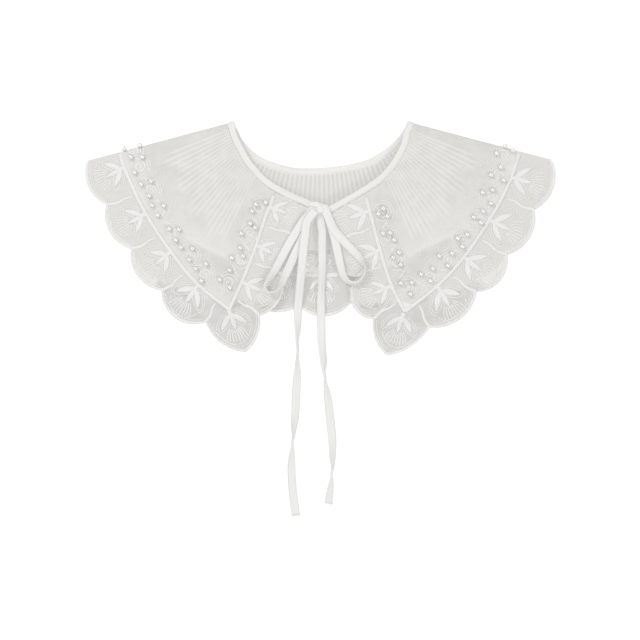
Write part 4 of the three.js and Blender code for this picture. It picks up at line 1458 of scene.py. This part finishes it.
front_embroidery("left", left_front, scallops_left, flowers_left, rosettes_left)
front_embroidery("right", right_front, scallops_right, flowers_right, rosettes_right)
back_embroidery()
pearls("left", rosettes_left, "pearl_trim_left")
pearls("right", rosettes_right, "pearl_trim_right")


# The knot

# A row for each soft fold of the knot: its place from the knot's middle, its half sizes and turn.
knot_folds = [
    ((-3.6, 4.2, -0.6), (7.4, 3, 2.7), -8),
    ((1, -0.6, 0.2), (5, 4.2, 2.9), 20),
    ((6.2, -0.4, -0.8), (3.8, 5.6, 2.8), 30),
    ((-7, -0.2, -1.2), (6.4, 3.6, 2.4), 35),
]
# A row for each set of creases: their depth, and their waves along and across.
knot_creases = [(0.045, 11, 2), (0.02, 19, -3)]


def ribbon_knot():
    """Soft creased folds of ribbon, drawn tight over each other."""
    bm = bmesh.new()
    middle = lift(plan(*knot_place), "open", knot_rise)
    for offset, half_sizes, turn in knot_folds:
        made = bmesh.ops.create_uvsphere(bm, u_segments=40, v_segments=20, radius=1)
        spin = Matrix.Rotation(math.radians(turn), 3, "Z")
        for vertex in made["verts"]:
            x, y = vertex.co.xy
            crease = sum(depth * math.cos(along * y + across * x)
                         for depth, along, across in knot_creases)
            shaped = Vector([axis * half for axis, half in zip(vertex.co, half_sizes)])
            shaped *= 1 + crease
            vertex.co = middle + Vector(offset) + spin @ shaped
    piece = new_piece("ribbon_knot", bm, knot_white)
    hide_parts("tie_knot")


ribbon_knot()


# Floor, light and the view of the colours

floor_reach = 3000
paper_glow = 0.86
sky_strength = 1.02
sky_bands = [(0.1, 0.4), (0.95, 1)]
lamp_size = 0.4
lamp_aim = Vector((0, -0.05, 0))


def add_floor():
    bm = bmesh.new()
    bmesh.ops.create_grid(bm, x_segments=1, y_segments=1, size=floor_reach)
    bmesh.ops.scale(bm, vec=(MM, MM, MM), verts=bm.verts)
    mesh = bpy.data.meshes.new("floor")
    bm.to_mesh(mesh)
    bm.free()
    paper = Finish("white paper", roughness=0.9, specular=0.1)
    grain = paper.soft_patches("Object", 9)
    paper.feed("Base Color", paper.blend(grain, (0.19, 0.19, 0.19), (0.2, 0.2, 0.2)))
    paper.feed("Emission Color", (1, 1, 1))
    paper.feed("Emission Strength", paper_glow)
    mesh.materials.append(paper.material)
    floor = bpy.data.objects.new("floor", mesh)
    bpy.context.collection.objects.link(floor)


def add_sky():
    """Soft white light, strongest from straight above."""
    world = bpy.data.worlds.new("studio")
    world.use_nodes = True
    tree = world.node_tree
    background = tree.nodes["Background"]
    background.inputs["Strength"].default_value = sky_strength
    coordinates = tree.nodes.new("ShaderNodeTexCoord")
    split = tree.nodes.new("ShaderNodeSeparateXYZ")
    ramp = tree.nodes.new("ShaderNodeValToRGB")
    fill_ramp(ramp, sky_bands)
    tree.links.new(coordinates.outputs["Generated"], split.inputs[0])
    tree.links.new(split.outputs[2], ramp.inputs[0])
    tree.links.new(ramp.outputs[0], background.inputs["Color"])
    bpy.context.scene.world = world


def add_lamp(name, place, watts):
    data = bpy.data.lights.new(name, "AREA")
    data.shape = "DISK"
    data.size = lamp_size
    data.energy = watts
    lamp = bpy.data.objects.new(name, data)
    lamp.location = place
    aim = lamp_aim - lamp.location
    lamp.rotation_euler = aim.to_track_quat("-Z", "Y").to_euler()
    bpy.context.collection.objects.link(lamp)


add_floor()
add_sky()
add_lamp("upper left lamp", (-0.95, 0.9, 1.5), 9)
add_lamp("lower right lamp", (0.9, -1, 1.5), 5)
bpy.context.scene.view_settings.view_transform = "Standard"
